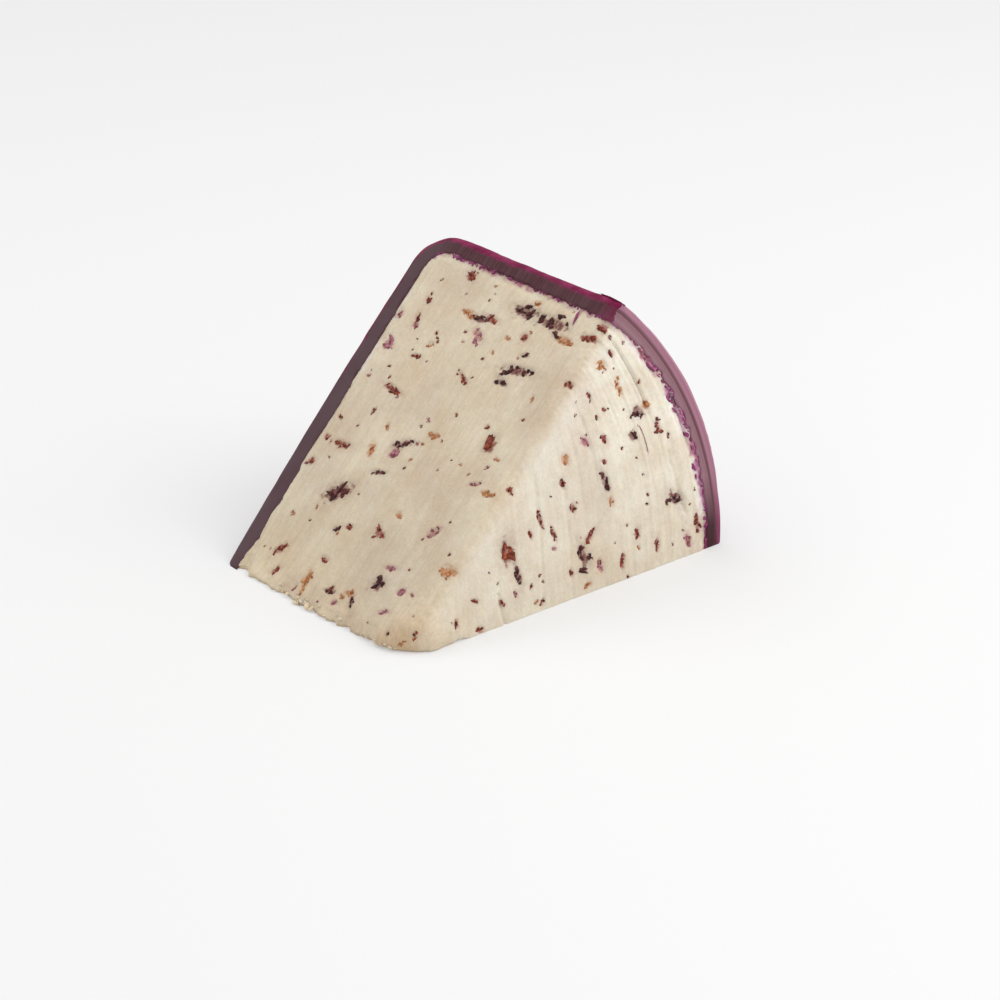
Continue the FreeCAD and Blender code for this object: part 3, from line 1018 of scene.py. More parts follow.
class Pile:
    """Gathers many small shapes and joins them into one piece."""

    def __init__(self):
        self.points = []
        self.triangles = []
        self.count = 0

    def add(self, level, centre, axes, roughness, seed, grain=0.9):
        """One roughened blank: its centre and its three half axes as rows."""
        corners, triangles = BLANKS[level]
        swell = 1 + roughness * field(corners, grain, seed % 997, 2)
        placed = centre + (corners * swell[:, None]) @ np.asarray(axes)
        placed[:, 2] = np.maximum(placed[:, 2], FLOOR_CLEAR)
        self.points.append(placed)
        self.triangles.append(triangles + self.count)
        self.count += len(corners)

    def join(self, name, material, slot, smooth=True):
        """Makes the finished piece, which rides on the block. Its plain stain lets it be cheese."""
        mesh = bpy.data.meshes.new(name)
        mesh.from_pydata(np.concatenate(self.points), [], np.concatenate(self.triangles))
        mesh.materials.append(material)
        piece = bpy.data.objects.new(name, mesh)
        bpy.context.scene.collection.objects.link(piece)
        mesh.polygons.foreach_set("use_smooth", np.full(len(mesh.polygons), smooth))
        keep_colours(mesh, "stain_and_painted_light", CRUMB_TINT)
        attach(piece, "root")
        print(name, len(mesh.polygons), "faces")


print({level: len(triangles) for level, (_, triangles) in BLANKS.items()}, "triangles in the blanks")

# %% [markdown]
# Every scrap has to lie on the finished cheese, with its waves and pits, and not on the flat cut. A
# Shrinkwrap modifier could pull each one down, but it would also bend it. A search tree over the
# cheese gives the nearest point and the way that the surface faces there, and the scrap stays whole.

# %% Places on the finished cheese
def surface_of(piece):
    """A search tree over a finished mesh."""
    mesh = piece.data
    corners = [tuple(face.vertices) for face in mesh.polygons]
    return BVHTree.FromPolygons([tuple(point) for point in mesh_points(mesh)], corners)


CHEESE = surface_of(paste)


def spot_on(cut, along, across):
    """The nearest point of the cheese to a place on a cut, with two directions and a normal there."""
    found, facing, _, _ = CHEESE.find_nearest(Vector(cut.place(along, across)))
    facing = np.array(facing) * 0.4 + cut.normal * 0.6
    facing /= np.linalg.norm(facing)
    first = cut.first - facing * (cut.first @ facing)
    first /= np.linalg.norm(first)
    return np.array(found), first, np.cross(facing, first), facing


def laid_out(cut, along, across, turn):
    """A spot on the cheese, with the directions along and across a scrap that is turned on its map."""
    spot, first, second, facing = spot_on(cut, along, across)
    if cut.normal @ np.cross(cut.first, cut.second) < 0:
        second = -second
    lengthwise = math.cos(turn) * first + math.sin(turn) * second
    widthwise = math.cos(turn) * second - math.sin(turn) * first
    return spot, lengthwise, widthwise, facing


middle_spot = spot_on(UPPER, RADIUS / 2, DEPTH / 2)[0]
print("middle of the upper cut, in mm:", (middle_spot / MM).round(1))

# %% [markdown]
# Each piece of fruit is almost flush with the cut, because the same wire cut both. The moist, whole
# berry stands proud, and the soft jam-like ones have sunk in a little.

# %% Scraps of fruit in their pits
PROUD = {"dark": 0.02, "red": 0.02, "amber": -0.02, "jam": -0.05, "whole": 0.14}
FLATNESS, THINNEST, LIFT = 0.30, 0.14 * MM, 0.17
SCRAPS_PER_LENGTH = 1.7
WANDER, SWERVE, TWIST = 0.12, 0.48, 0.6
BROAD_SCRAP = 0.8 * MM


def add_scraps(pile, bit, seed):
    """A row of scraps along one bit, broken and uneven."""
    count = max(1, round(bit.half_length / bit.half_width * SCRAPS_PER_LENGTH))
    if bit.kind == "whole":
        count = 1
    for index in range(count):
        shift = ((index + 0.5) / count * 2 - 1) * bit.half_length * (1 - 1 / (count + 1))
        shift += RANDOM.normal() * WANDER * bit.half_length
        jitter = RANDOM.normal() * SWERVE * bit.half_width if count > 1 else 0
        along = bit.along + shift * math.cos(bit.turn) - jitter * math.sin(bit.turn)
        across = bit.across + shift * math.sin(bit.turn) + jitter * math.cos(bit.turn)
        long = bit.half_length / count * RANDOM.uniform(0.8, 2.0) if count > 1 else bit.half_length
        wide = bit.half_width * RANDOM.uniform(0.28, 0.75) if count > 1 else bit.half_width
        thick = FLATNESS * wide + THINNEST
        turn = bit.turn + RANDOM.normal() * TWIST
        spot, lengthwise, widthwise, facing = laid_out(bit.cut, along, across, turn)
        level = 3 if wide > BROAD_SCRAP and bit.kind != "whole" else 2
        centre = spot + facing * ((LIFT + PROUD[bit.kind]) * MM - thick)
        axes = (lengthwise * long, widthwise * wide, facing * thick)
        pile.add(level, centre, axes, 0.85, seed + index, grain=0.5)


piles = {kind: Pile() for kind in KINDS}
for number, bit in enumerate(bits):
    add_scraps(piles[bit.kind], bit, number * 7)
print({kind: len(pile.points) for kind, pile in piles.items()}, "scraps")

# %% [markdown]
# The fruit is dried berry: nearly black where it is thick, red-brown where light comes through, amber
# at thin skins. One material with a colour for each scrap could do, but five kinds are easier to tell
# apart. Each gets its own colours from noise, a leathery bump and a slight wet gloss.

# %% Fruit materials
FRUIT_COLOURS = {
    "dark": ((0.014, 0.005, 0.006), (0.060, 0.011, 0.012), (0.20, 0.050, 0.040)),
    "red": ((0.070, 0.009, 0.007), (0.20, 0.030, 0.017), (0.42, 0.12, 0.055)),
    "amber": ((0.30, 0.080, 0.028), (0.48, 0.19, 0.065), (0.64, 0.36, 0.16)),
    "jam": ((0.13, 0.022, 0.040), (0.32, 0.090, 0.125), (0.52, 0.26, 0.29)),
    "whole": ((0.070, 0.010, 0.006), (0.20, 0.032, 0.014), (0.45, 0.13, 0.045))}


def fruit_material(kind):
    """Dried berry of one colour."""
    material, tree, shader, _ = new_material(f"fruit_{kind}")
    deep, middle, thin = FRUIT_COLOURS[kind]
    flesh = colour_ramp(tree, object_noise(tree, 1300, 4), (0.32, deep), (0.50, middle), (0.68, thin))
    finish_shader(shader, flesh, roughness=0.40, specular=0.20)
    add_bump(tree, shader, object_noise(tree, 1900, 4), 0.16 * MM, 0.9)
    return material


for kind in KINDS:
    piles[kind].join(f"fruit_{kind}", fruit_material(kind), "cranberry", smooth=kind != "whole")

# %% [markdown]
# The wax is a shell of the round's outside. It could be made with a Solidify modifier on the paste,
# but its thickness differs from place to place, and the solid already has that. So it is a remeshed
# copy of its solid too, and only the faces that meet the cheese or the floor are thinned out.

# %% Remesh the wax
WAX_VOXEL = 0.38 * MM
COVERED_DEPTH = 2 * MM

wax = fine_skin("wax", "wax_coat", WAX_VOXEL)
centres = rows(wax.data.polygons, "center")
directions = rows(wax.data.polygons, "normal")
_, _, inwards = under_outside(centres)
over_upper, over_middle = over_cuts(centres)
faces_paste = (directions * inwards).sum(axis=1) > 0.5
faces_floor = (directions[:, 2] < -0.95) & (centres[:, 2] < 0.3 * MM)
covered = (over_upper < -COVERED_DEPTH) & (over_middle < -COVERED_DEPTH)
hidden = covered & (faces_paste | faces_floor)
print("remeshed", len(wax.data.polygons), "hidden", hidden.sum())
thin_out(wax, hidden, HIDDEN_SHARE)
print("thinned to", len(wax.data.polygons))

# %% [markdown]
# On the real block the shell has three finishes: the dipped skin is glossy and gently uneven, the
# radial cut is matt with fine knife lines across the shell, and the mid-height cut is smeared along
# it, with one deep groove. Where the wire left the wax it pulled the inner edge over the cheese in
# small ragged lips. First the shapes: dip waves, groove, smears and lips.

# %% Shape the wax coat
LIP = 0.9 * MM
GROOVE_SHARE, GROOVE_WIDTH, GROOVE_DEPTH = 0.60, 0.07, 0.24
SMEAR_HEIGHT = 0.07
CORNER = 3.0 * MM
DIP_WAVES, DIP_RUNS = 0.16 * MM, 0.10 * MM
FACE_LIP, HUB_LIP, RAGGED_LIP, FACE_TORN = 0.30, 1.1, 0.60, 0.45
LIP_RISE, TORN_RISE = 0.04, 0.06


def round_corner(points):
    """Points near the corner between the two cuts, drawn in to a soft round corner."""
    over_upper, over_middle = over_cuts(points)
    up, out = np.maximum(over_upper + CORNER, 0), np.maximum(over_middle + CORNER, 0)
    far = np.maximum(np.hypot(up, out), 1e-9)
    pull = np.where((up > 0) & (out > 0), np.maximum(far - CORNER, 0), 0) / far
    return points - (pull * up)[:, None] * UPPER.normal - (pull * out)[:, None] * MIDDLE.normal


def shape_wax(points, normals):
    """Adds dip waves outside, a groove and smears on the mid-height cut, and ragged inner lips."""
    below, thickness, inwards = under_outside(points)
    over_upper, over_middle = over_cuts(points)
    outside = ramp(-(normals * inwards).sum(axis=1), 0.2, 0.8) * (1 - ramp(below, 0.5 * MM, 2 * MM))
    runs = points * (1, 1, 0.35)
    dip = DIP_WAVES * field(points, 12 * MM, 31, 2) + DIP_RUNS * field(runs, 3.5 * MM, 32, 2)
    shaped = swollen(round_corner(points)) + normals * (outside * dip)[:, None]
    front = ramp(-normals[:, 1], 0.5, 0.9) * (1 - ramp(-over_middle, 0.4 * MM, 1.5 * MM))
    share = 1 - below / thickness
    groove = np.exp(-((share - GROOVE_SHARE) / GROOVE_WIDTH) ** 2)
    radii, _, angles = polar(points)
    smear = field(np.stack([radii, angles * 4 * MM, 0 * radii], axis=1), 0.9 * MM, 33, 2)
    shaped[:, 1] += front * (GROOVE_DEPTH * groove - SMEAR_HEIGHT * smear) * MM
    near_cut = np.maximum(1 - ramp(-over_upper, 0.2 * MM, 1.2 * MM),
                          1 - ramp(-over_middle, 0.2 * MM, 1.2 * MM))
    inner_edge = 1 - ramp(thickness - below, 0.0, 1.6 * MM)
    by_rim = near_rim(inwards)
    torn = np.clip(0.20 + 0.75 * field(points, 1.5 * MM, 34, 3), -0.1, 1.1)
    on_face = FACE_LIP * field(points, 7 * MM, 35, 2) + HUB_LIP * ramp(radii, 55 * MM, 22 * MM)
    slow = on_face * (1 - by_rim)
    slow += RAGGED_LIP * np.clip(field(points, 2.6 * MM, 39, 3), -0.2, 1.0) * (1 - by_rim)
    reach = LIP * (torn * np.where(by_rim, 1.0, FACE_TORN) + slow)
    shaped += inwards * (near_cut * inner_edge * reach)[:, None]
    rise = inner_edge * (LIP_RISE + TORN_RISE * np.clip(torn, 0, 1)) * MM
    shaped += normals * (rise * near_cut)[:, None]
    return shaped


points = mesh_points(wax.data)
shaped = shape_wax(points, rows(wax.data.vertex_normals, "vector"))
print(f"vertices moved by up to {np.abs(shaped - points).max() / MM:.1f} mm")

# %% [markdown]
# A cut doesn't end in a ruled line: the skin's burgundy fades into it, unevenly, over most of a
# millimetre. Separate materials alone would meet in a jagged edge, face by face. So the share of cut
# over skin is worked out at each vertex and kept as a colour attribute, red for the radial cut and
# green for the mid-height cut, and each finish blends by it. It uses the points from before they were
# shaped, where the depth under the outside is exact.

# %% Keep the cuts' shares on the wax
RIM_EDGE, FACE_EDGE, EDGE_WANDER = 1.35, 1.05, 0.36 * MM
RADIAL_FINE, MIDDLE_FINE = 0.30 * MM, 0.12 * MM
AT_CORNER, FROM_CORNER = 0.55, 0.45


def insets(points):
    """The share of cut over skin at each vertex: on the radial cut, and on the mid-height cut."""
    below, _, inwards = under_outside(points)
    _, _, over_middle = MIDDLE.flat(points)
    edge = np.where(near_rim(inwards), RIM_EDGE, FACE_EDGE) * MM
    edge = edge + EDGE_WANDER * field(points, 2.2 * MM, 36, 3)
    fine = field(points * (0.1, 1, 0.1), 0.6 * MM, 40, 2)
    radial = ramp(below + RADIAL_FINE * fine, edge - 0.35 * MM, edge + 0.45 * MM)
    middle = ramp(over_middle + MIDDLE_FINE * fine, -1.0 * MM, -0.55 * MM)
    from_corner = ramp(-over_middle + 1.2 * MM * fine, 0.5 * MM, 6.5 * MM)
    radial *= AT_CORNER + FROM_CORNER * from_corner
    return np.stack([radial, middle], axis=1)


keep_colours(wax.data, "inset", insets(points))
settle(wax, points, shaped)
bpy.ops.object.shade_smooth()
print("wax", len(wax.data.polygons), "faces")

# %% [markdown]
# Dyed wax is burgundy all through, but a cut scrapes it dull and dark, and the smeared cut has taken
# cheese fat into it, so it is a pale mauve with long streaks round the rim; the paleness is partly the
# fat and partly painted sheen, the light the satin wax gives back. The streaks follow the distance
# from the centre line, which a Mapping node and a length give. The scraped colour comes first,
# because both the radial cut and the rolled edge beside it use it.

# %% The scraped colour of the radial cut
SKIN_DEEP = (0.150, 0.008, 0.044)
SKIN = (0.205, 0.014, 0.066)
SKIN_PALE = (0.27, 0.035, 0.105)
CUT_DEEP = (0.040, 0.007, 0.013)
CUT_PLUM = (0.082, 0.023, 0.031)
CUT_GREY = (0.112, 0.050, 0.058)
CUT_FACE_PLUM = (0.082, 0.038, 0.047)
CUT_FACE_GREY = (0.122, 0.074, 0.085)
FACE_START, FACE_FULL = CUT_Y + 0.80 * DEPTH, CUT_Y + 0.95 * DEPTH


def map_range(tree, value, low, high):
    """A value mapped from low..high to 0..1."""
    node = add_node(tree, "ShaderNodeMapRange")
    node.inputs["From Min"].default_value = low
    node.inputs["From Max"].default_value = high
    tree.links.new(value, node.inputs["Value"])
    return node.outputs[0]


def object_axis(tree, axis):
    """The object's own X, Y or Z coordinate."""
    place = add_node(tree, "ShaderNodeTexCoord")
    parts = add_node(tree, "ShaderNodeSeparateXYZ")
    tree.links.new(place.outputs["Object"], parts.inputs[0])
    return parts.outputs[axis]


def inset_share(tree, channel):
    """The share of cut over skin that was kept on the shell's vertices for one of the two cuts."""
    inset = add_node(tree, "ShaderNodeVertexColor", layer_name="inset")
    parts = add_node(tree, "ShaderNodeSeparateColor")
    tree.links.new(inset.outputs["Color"], parts.inputs[0])
    return parts.outputs[channel]


def scraped_colour(tree):
    """The radial cut's colour and its lines: dark plum, with bright burgundy at the outer edge."""
    lines = object_noise(tree, 1, 3, stretch=(90, 2600, 90))
    clouds = object_noise(tree, 170, 5)
    streaks = colour_ramp(tree, lines, (0.34, CUT_DEEP), (0.50, CUT_PLUM), (0.70, CUT_GREY))
    worn = colour_ramp(tree, clouds, (0.35, CUT_PLUM), (0.68, CUT_GREY))
    back = map_range(tree, object_axis(tree, "Y"), FACE_START, FACE_FULL)
    pale = mix_by(tree, clouds, CUT_FACE_PLUM, CUT_FACE_GREY)
    cut = mix_by(tree, back, mix_by(tree, 0.45, streaks, worn), pale)
    patches = object_noise(tree, 260, 4)
    rolled = colour_ramp(tree, patches, (0.34, SKIN_DEEP), (0.50, SKIN), (0.70, SKIN_PALE))
    return mix_by(tree, inset_share(tree, "Red"), rolled, cut), lines


# %% [markdown]
# The dipped skin is glossy, with soft dull clouds where hands touched it and a few pinholes where air
# left the wax. Its gloss could be one number, but real gloss is patchy, so noise drives the roughness.
# The knife cut is matt, with fine lines across the shell, and the skin's scraped edge lies between.

# %% Skin, rolled edge and knife cut
# The rose colour is a painted highlight, for light caught at the rim's outer edge.
ROSE_PAINTED_HIGHLIGHT = (0.44, 0.185, 0.275)
GLOSSY, DULL = (0.17,) * 3, (0.36,) * 3
WHITE, BLACK = (1.0,) * 3, (0.0,) * 3


def rolled_edge_material():
    """The scraped edge of the skin beside the radial cut: bright burgundy with little gloss."""
    material, tree, shader, _ = new_material("wax_rolled_edge")
    colour, _ = scraped_colour(tree)
    finish_shader(shader, colour, roughness=0.5, specular=0.08)
    add_bump(tree, shader, object_noise(tree, 1100, 3), 0.08 * MM, 0.6)
    return material


def skin_material():
    """Dipped wax: glossy burgundy with soft clouds and a few pinholes."""
    material, tree, shader, _ = new_material("wax_skin")
    clouds = object_noise(tree, 70, 4)
    skin = colour_ramp(tree, clouds, (0.25, SKIN_DEEP), (0.50, SKIN), (0.80, SKIN_PALE))
    # Painted highlight: next to the mid-height cut the skin turns rose, where its edge catches the
    # light.
    colour = mix_by(tree, inset_share(tree, "Green"), skin, ROSE_PAINTED_HIGHLIGHT)
    tree.links.new(colour, shader.inputs["Base Color"])
    dull = colour_ramp(tree, object_noise(tree, 160, 5), (0.35, GLOSSY), (0.70, DULL))
    tree.links.new(dull, shader.inputs["Roughness"])
    shader.inputs["Coat Weight"].default_value = 0.25
    shader.inputs["Coat Roughness"].default_value = 0.18
    waves = add_bump(tree, shader, object_noise(tree, 420, 3), 0.10 * MM, 0.6)
    pinholes = colour_ramp(tree, object_noise(tree, 1500, 2), (0.68, WHITE), (0.76, BLACK))
    add_bump(tree, shader, pinholes, 0.12 * MM, 0.6, before=waves)
    return material


def knife_cut_material():
    """Wax on the radial cut: matt dark plum with fine lines across the shell."""
    material, tree, shader, _ = new_material("wax_knife_cut")
    colour, lines = scraped_colour(tree)
    finish_shader(shader, colour, roughness=0.60, specular=0.20)
    scored = add_bump(tree, shader, lines, 0.12 * MM, 0.7)
    add_bump(tree, shader, object_noise(tree, 1400, 4), 0.08 * MM, 0.6, before=scored)
    return material


# %% [markdown]
# On the mid-height cut the wire ran round the rim and smeared the wax into long streaks. A wave
# texture would draw them too evenly, so noise in one dimension is read along the distance from the
# centre line. A ramp over the shell's thickness adds its zones: pale, then the groove darkened with
# painted shade, then a rosy outer edge that is a painted highlight where the rim catches the light.
# Near the floor the cut is clean and painted darker, as shade.

# %% The smeared mid-height cut
# The mauve and the pale mauve below are partly the smear's own colour and partly painted sheen.
SMEAR_DEEP_AND_GROOVE_SHADE = (0.085, 0.015, 0.028)
SMEAR_WITH_SHEEN = (0.230, 0.100, 0.127)
SMEAR_PALE_WITH_SHEEN = (0.32, 0.18, 0.21)
FLOOR_END_PAINTED_SHADE = (0.042, 0.005, 0.010)
FLOOR_BEVEL = (0.200, 0.035, 0.085)
PAINTED_SHADE_BELOW, UNSHADED_ABOVE = 5 * MM, 17 * MM


def smeared_cut_material():
    """Wax on the mid-height cut: mauve with painted sheen and long streaks, painted shade in its
    groove and towards the floor.
    """
    material, tree, shader, _ = new_material("wax_smeared_cut")
    place = add_node(tree, "ShaderNodeTexCoord")
    flatten = add_node(tree, "ShaderNodeMapping")
    flatten.inputs["Location"].default_value = (-HUB_X, 0, 0)
    flatten.inputs["Scale"].default_value = (1, 0, 1)
    radius = add_node(tree, "ShaderNodeVectorMath", operation="LENGTH")
    tree.links.new(place.outputs["Object"], flatten.inputs["Vector"])
    tree.links.new(flatten.outputs["Vector"], radius.inputs[0])
    rings = add_node(tree, "ShaderNodeTexNoise", noise_dimensions="1D")
    rings.inputs["Scale"].default_value = 2600
    rings.inputs["Detail"].default_value = 2
    tree.links.new(radius.outputs["Value"], rings.inputs["W"])
    streaks_with_sheen = colour_ramp(
        tree, rings.outputs["Fac"], (0.34, SMEAR_DEEP_AND_GROOVE_SHADE), (0.46, SMEAR_WITH_SHEEN), (0.68, SMEAR_PALE_WITH_SHEEN))
    share = map_range(tree, radius.outputs["Value"], RADIUS - WAX_AT_CUT, RADIUS)
    # Painted shade darkens the groove's zone, and the rose outer zone is a painted highlight.
    zones_with_painted_light = colour_ramp(
        tree, share, (0.0, SMEAR_WITH_SHEEN), (0.22, SMEAR_PALE_WITH_SHEEN), (0.50, SMEAR_WITH_SHEEN), (0.57, SMEAR_DEEP_AND_GROOVE_SHADE),
        (0.63, SMEAR_DEEP_AND_GROOVE_SHADE), (0.70, SMEAR_WITH_SHEEN), (0.80, ROSE_PAINTED_HIGHLIGHT), (1.0, ROSE_PAINTED_HIGHLIGHT))
    # Painted shade: the cut is painted darker towards the floor.
    rise = map_range(tree, object_axis(tree, "Z"), PAINTED_SHADE_BELOW, UNSHADED_ABOVE)
    shaded_floor_end = colour_ramp(tree, share, (0.60, FLOOR_END_PAINTED_SHADE), (0.72, FLOOR_BEVEL))
    open_cut_with_painted_light = mix_by(tree, rise, shaded_floor_end, mix_by(tree, 0.62, streaks_with_sheen, zones_with_painted_light))
    colour = mix_by(tree, inset_share(tree, "Green"), SKIN, open_cut_with_painted_light)
    finish_shader(shader, colour, roughness=0.42, specular=0.30)
    scored = add_bump(tree, shader, rings.outputs["Fac"], 0.10 * MM, 0.7)
    add_bump(tree, shader, object_noise(tree, 900, 4), 0.06 * MM, 0.5, before=scored)
    return material


# %% [markdown]
# Where wax is torn thin, light passes through its dye and it looks bright magenta. It could be made
# see-through, but it lies on pale cheese anyway, so a bright colour gives the same look and renders
# faster.

# %% Thin torn wax
BURR_COLOURS = ((0.13, 0.006, 0.050), (0.26, 0.018, 0.125), (0.42, 0.09, 0.26))


def burr_material():
    """Thin torn wax: bright magenta."""
    material, tree, shader, _ = new_material("wax_shred")
    deep, middle, pale = BURR_COLOURS
    colour = colour_ramp(tree, object_noise(tree, 700, 3), (0.33, deep), (0.50, middle), (0.70, pale))
    finish_shader(shader, colour, roughness=0.4)
    add_bump(tree, shader, object_noise(tree, 2200, 2), 0.06 * MM, 0.6)
    return material


# %% [markdown]
# Last, each face of the shell gets its finish by its place and the way it faces. The corner between
# the two cuts is rounded, so there a face goes to the cut that it is nearer to, along an uneven line.

# %% Give each part of the shell its finish
SKIN_FINISH, KNIFE_FINISH, SMEAR_FINISH, ROLLED_FINISH, SHRED_FINISH = range(5)
SHRED_MATERIAL = burr_material()
for material in (skin_material(), knife_cut_material(), smeared_cut_material(),
                 rolled_edge_material(), SHRED_MATERIAL):
    wax.data.materials.append(material)

centres = rows(wax.data.polygons, "center")
directions = rows(wax.data.polygons, "normal")
over_upper, over_middle = over_cuts(centres)
below, thickness, inwards = under_outside(centres)
by_rim = near_rim(inwards)
edge = np.where(by_rim, 1.25, 0.70) * MM + 0.25 * MM * field(centres, 2 * MM, 36, 2)
up, out = over_upper + CORNER, over_middle + CORNER
at_corner = (up > 0) & (out > 0) & (np.hypot(up, out) > CORNER - 0.5 * MM)
out = out + 0.7 * MM * field(centres, 1.3 * MM, 37, 2)
on_knife_cut = (directions @ UPPER.normal > 0.72) & (over_upper > -0.6 * MM)
on_knife_cut = (on_knife_cut | (at_corner & (up > out))) & (below > edge)
on_smeared_cut = (directions @ MIDDLE.normal > 0.72) & (over_middle > -0.6 * MM)
on_smeared_cut |= at_corner & (out >= up)
finish = np.where(on_knife_cut, KNIFE_FINISH, SKIN_FINISH)
finish[on_smeared_cut] = SMEAR_FINISH
beside_cut = (over_upper > -1.0 * MM) & (directions @ UPPER.normal > 0.25)
finish[(finish == SKIN_FINISH) & beside_cut] = ROLLED_FINISH
print("skin, knife cut, smeared cut and rolled edge:", np.bincount(finish), "faces")

# %% [markdown]
# The ragged lips are thin enough for light to pass, so they are bright like the shreds. That goes by
# how far a face lies past the wax's own thickness.

# %% Give the ragged lips their finish
thin_lip = below - thickness > (0.15 + 0.25 * field(centres, 1.4 * MM, 38, 2)) * MM
on_a_cut = (finish == KNIFE_FINISH) | (finish == SMEAR_FINISH)
finish[thin_lip & by_rim & on_a_cut] = SHRED_FINISH
inner_face = (directions * inwards).sum(axis=1) > 0.1
inner_face &= (finish == SKIN_FINISH) & (below > 1.5 * MM)
finish[inner_face] = np.where(by_rim[inner_face], SHRED_FINISH, KNIFE_FINISH)
wax.data.polygons.foreach_set("material_index", finish.astype(np.int32))
wax.data.update()
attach(wax, "root")
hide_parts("wax")
print("with the ragged lips:", np.bincount(finish), "faces")

# %% [markdown]
# The wire also left shreds of wax along the inner edge: thin magenta flakes that point into the
# cheese, thickest where the rim meets the mid-height cut. A hair system could grow them, but it would
# have to be turned into a mesh again, and flakes from the same blanks as the fruit are as good. They
# come in tufts, because the wire sticks and slips.

# %% Shreds of wax along the inner edge
UPPER_SHREDS, RIM_SHREDS = 210, 200
SHORTEST_SHRED = 0.28
HALF_THIN = 0.09 * MM


def add_shred(pile, cut, along, across, turn, length, width, seed, lift=0.05 * MM):
    """One thin flake that lies on the cheese, its long side turned by an angle on the cut's map."""
    spot, lengthwise, widthwise, facing = laid_out(cut, along, across, turn)
    axes = (lengthwise * length / 2, widthwise * width / 2, facing * HALF_THIN)
    pile.add(2, spot + facing * lift, axes, 0.7, seed, grain=0.7)


def tufted(place):
    """How far a place along the edge is in one of the tufts, from 0 to 1."""
    return float(ramp(field(np.array([[place, 0, 0]]), 3.5 * MM, 41, 2), -0.45, 0.35)[0])


shreds = Pile()
for number in range(UPPER_SHREDS):
    across = RANDOM.uniform(1.0, 54) * MM
    length = (SHORTEST_SHRED + RANDOM.exponential(0.26)) * MM
    along = PASTE_RADIUS - 0.3 * MM - RANDOM.uniform(0.0, 0.5) * length
    turn, share = RANDOM.normal() * 0.5, RANDOM.uniform(0.35, 0.8)
    if RANDOM.random() < 0.25 + 0.75 * tufted(across):
        add_shred(shreds, UPPER, along, across, turn, length, length * share, number)
for number in range(RIM_SHREDS):
    angle = RANDOM.uniform(0.03, 0.98) * WEDGE
    length = (SHORTEST_SHRED + RANDOM.exponential(0.34)) * MM
    reach = RADIUS + RIM_SWELL * 0.8 - WAX_AT_CUT - 0.1 * MM - RANDOM.uniform(-0.1, 0.9) * length
    turn, share = angle + math.pi / 2 + RANDOM.normal() * 0.4 + 0.3, RANDOM.uniform(0.25, 0.6)
    if RANDOM.random() < 0.15 + 0.85 * tufted(angle * RADIUS + 50 * MM):
        add_shred(shreds, MIDDLE, reach * math.cos(angle), reach * math.sin(angle), turn, length,
                  length * share, 500 + number)
print(len(shreds.points), "shreds")

# %% [markdown]
# A few shreds are placed one by one: one dragged fleck near the corner, five long flakes along the
# rim, and one fine thread that lies across the cheese as a chain of short flakes.

# %% Flecks, long flakes and the thread
LONG_FLAKES = ((0.60, 2.6, 0.8), (0.48, 2.0, 0.6), (0.25, 2.3, 0.9), (0.22, 1.5, 0.7),
               (0.44, 1.6, 0.5))
THREAD_FLAKES = 16

add_shred(shreds, UPPER, 0.925 * RADIUS, 0.145 * DEPTH, 0.12, 3.0 * MM, 0.7 * MM, 901, lift=0.1 * MM)
for number, (angle, length, width) in enumerate(LONG_FLAKES):
    reach = RADIUS - WAX_AT_CUT - 0.7 * MM
    add_shred(shreds, MIDDLE, reach * math.cos(angle), reach * math.sin(angle), angle + 1.75,
              length * MM, width * MM, 910 + number)
for step in range(THREAD_FLAKES):
    share = step / (THREAD_FLAKES - 1)
    along = (0.735 + 0.030 * share ** 0.6) * RADIUS
    across = (0.395 - 0.075 * share) * RADIUS
    add_shred(shreds, MIDDLE, along, across, -1.1 - 0.4 * share, 0.75 * MM, 0.12 * MM, 930 + step,
              lift=0.01 * MM)
shreds.join("wax_shreds", SHRED_MATERIAL, "wax")

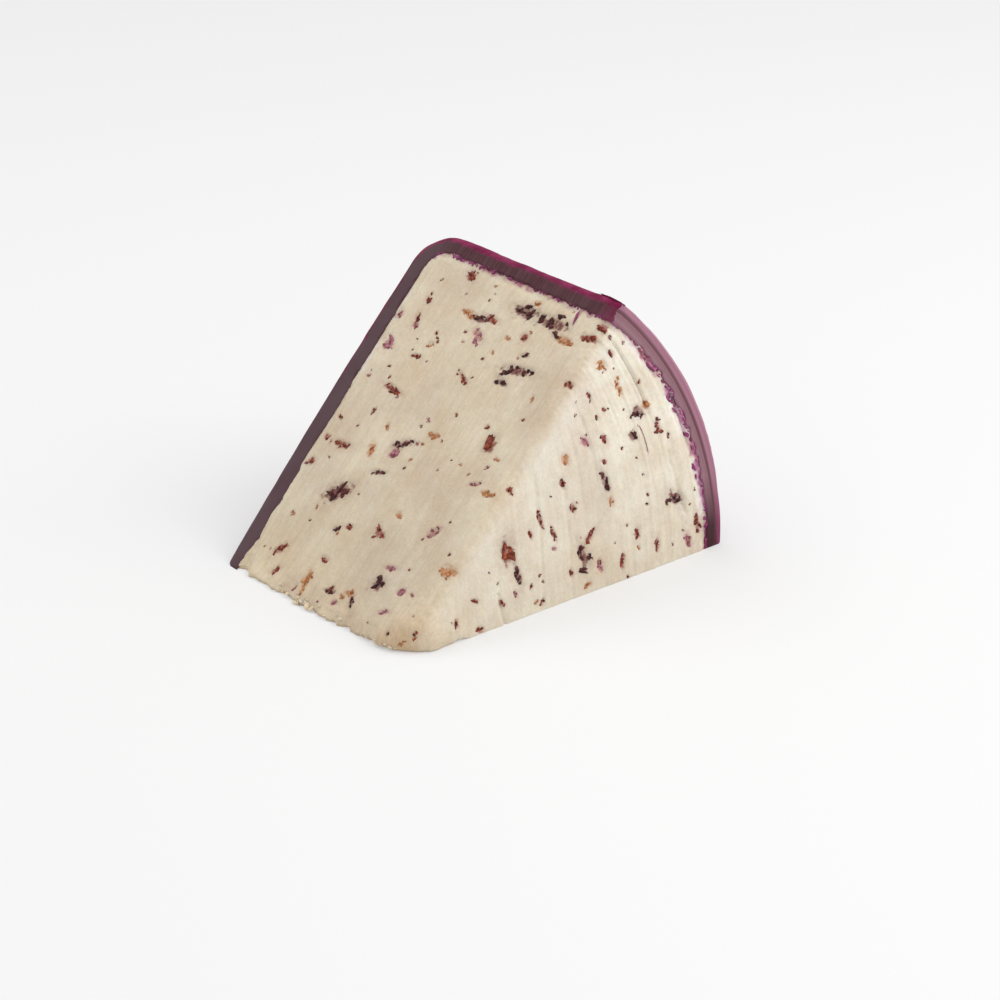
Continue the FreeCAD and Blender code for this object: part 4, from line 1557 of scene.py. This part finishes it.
# %% [markdown]
# At the corner the skin has a small torn flap that stands a little off the round. It could be pulled
# out of the shell's own mesh, but that would stretch its faces. It is three long flakes of the glossy
# skin, laid along the outer edge. Each has its depth, length and width in millimetres, and its share
# of the flap's rise.

# %% Torn flap at the corner
FLAP_FLAKES = ((4.2, 6.4, 0.8, 0.10), (2.4, 3.6, 0.7, 0.25), (7.2, 4.4, 0.6, 0.05))
FLAP_TILT, FLAP_RISE, FLAP_HALF_THIN = 0.04, 0.4 * MM, 0.12 * MM

flap = Pile()
for number, (depth, length, width, rise) in enumerate(FLAP_FLAKES):
    angle = WEDGE - 0.012 - 0.004 * number
    radial = np.array([math.cos(angle), 0, math.sin(angle)])
    around = np.array([-math.sin(angle), 0, math.cos(angle)])
    centre = np.array([HUB_X, CUT_Y + depth * MM, 0]) + radial * (RADIUS + 0.1 * MM + rise * FLAP_RISE)
    lengthwise = np.array([0, 1, 0]) + radial * FLAP_TILT
    axes = (lengthwise * length / 2 * MM, (around + 0.5 * radial) * width / 2 * MM,
            (radial - 0.5 * around) * FLAP_HALF_THIN)
    flap.add(3, centre, axes, 0.45, 70 + number)
flap.join("wax_flap", wax.data.materials[0], "wax")

# %% [markdown]
# Crumbs of cheese still cling to the broken thin edge. A particle system could drop them, but each has
# to touch the cheese. They are the same blanks as the fruit, rounder, and made of the same cream.

# %% Crumbs along the thin edge
CRUMB_COUNT = 42

crumbs = Pile()
for number in range(CRUMB_COUNT):
    depth = RANDOM.uniform(0.03, 0.95) * PASTE_DEPTH
    size = (0.12 + RANDOM.exponential(0.12)) * MM
    height = RANDOM.uniform(0.1, 1.8) * MM
    near = Vector((HUB_X + height, CUT_Y + depth, height))
    spot, facing, _, _ = CHEESE.find_nearest(near)
    turn = RANDOM.uniform(0, math.pi)
    axes = (np.array([math.cos(turn), math.sin(turn), 0.2]) * size * RANDOM.uniform(0.9, 1.9),
            np.array([-math.sin(turn), math.cos(turn), 0]) * size,
            np.array([0, 0.2, 1]) * size * 0.6)
    crumbs.add(2, np.array(spot + facing * 0.3 * size), axes, 0.8, number + 2000, grain=0.7)
crumbs.join("crumbs", PASTE_MATERIAL, "paste")
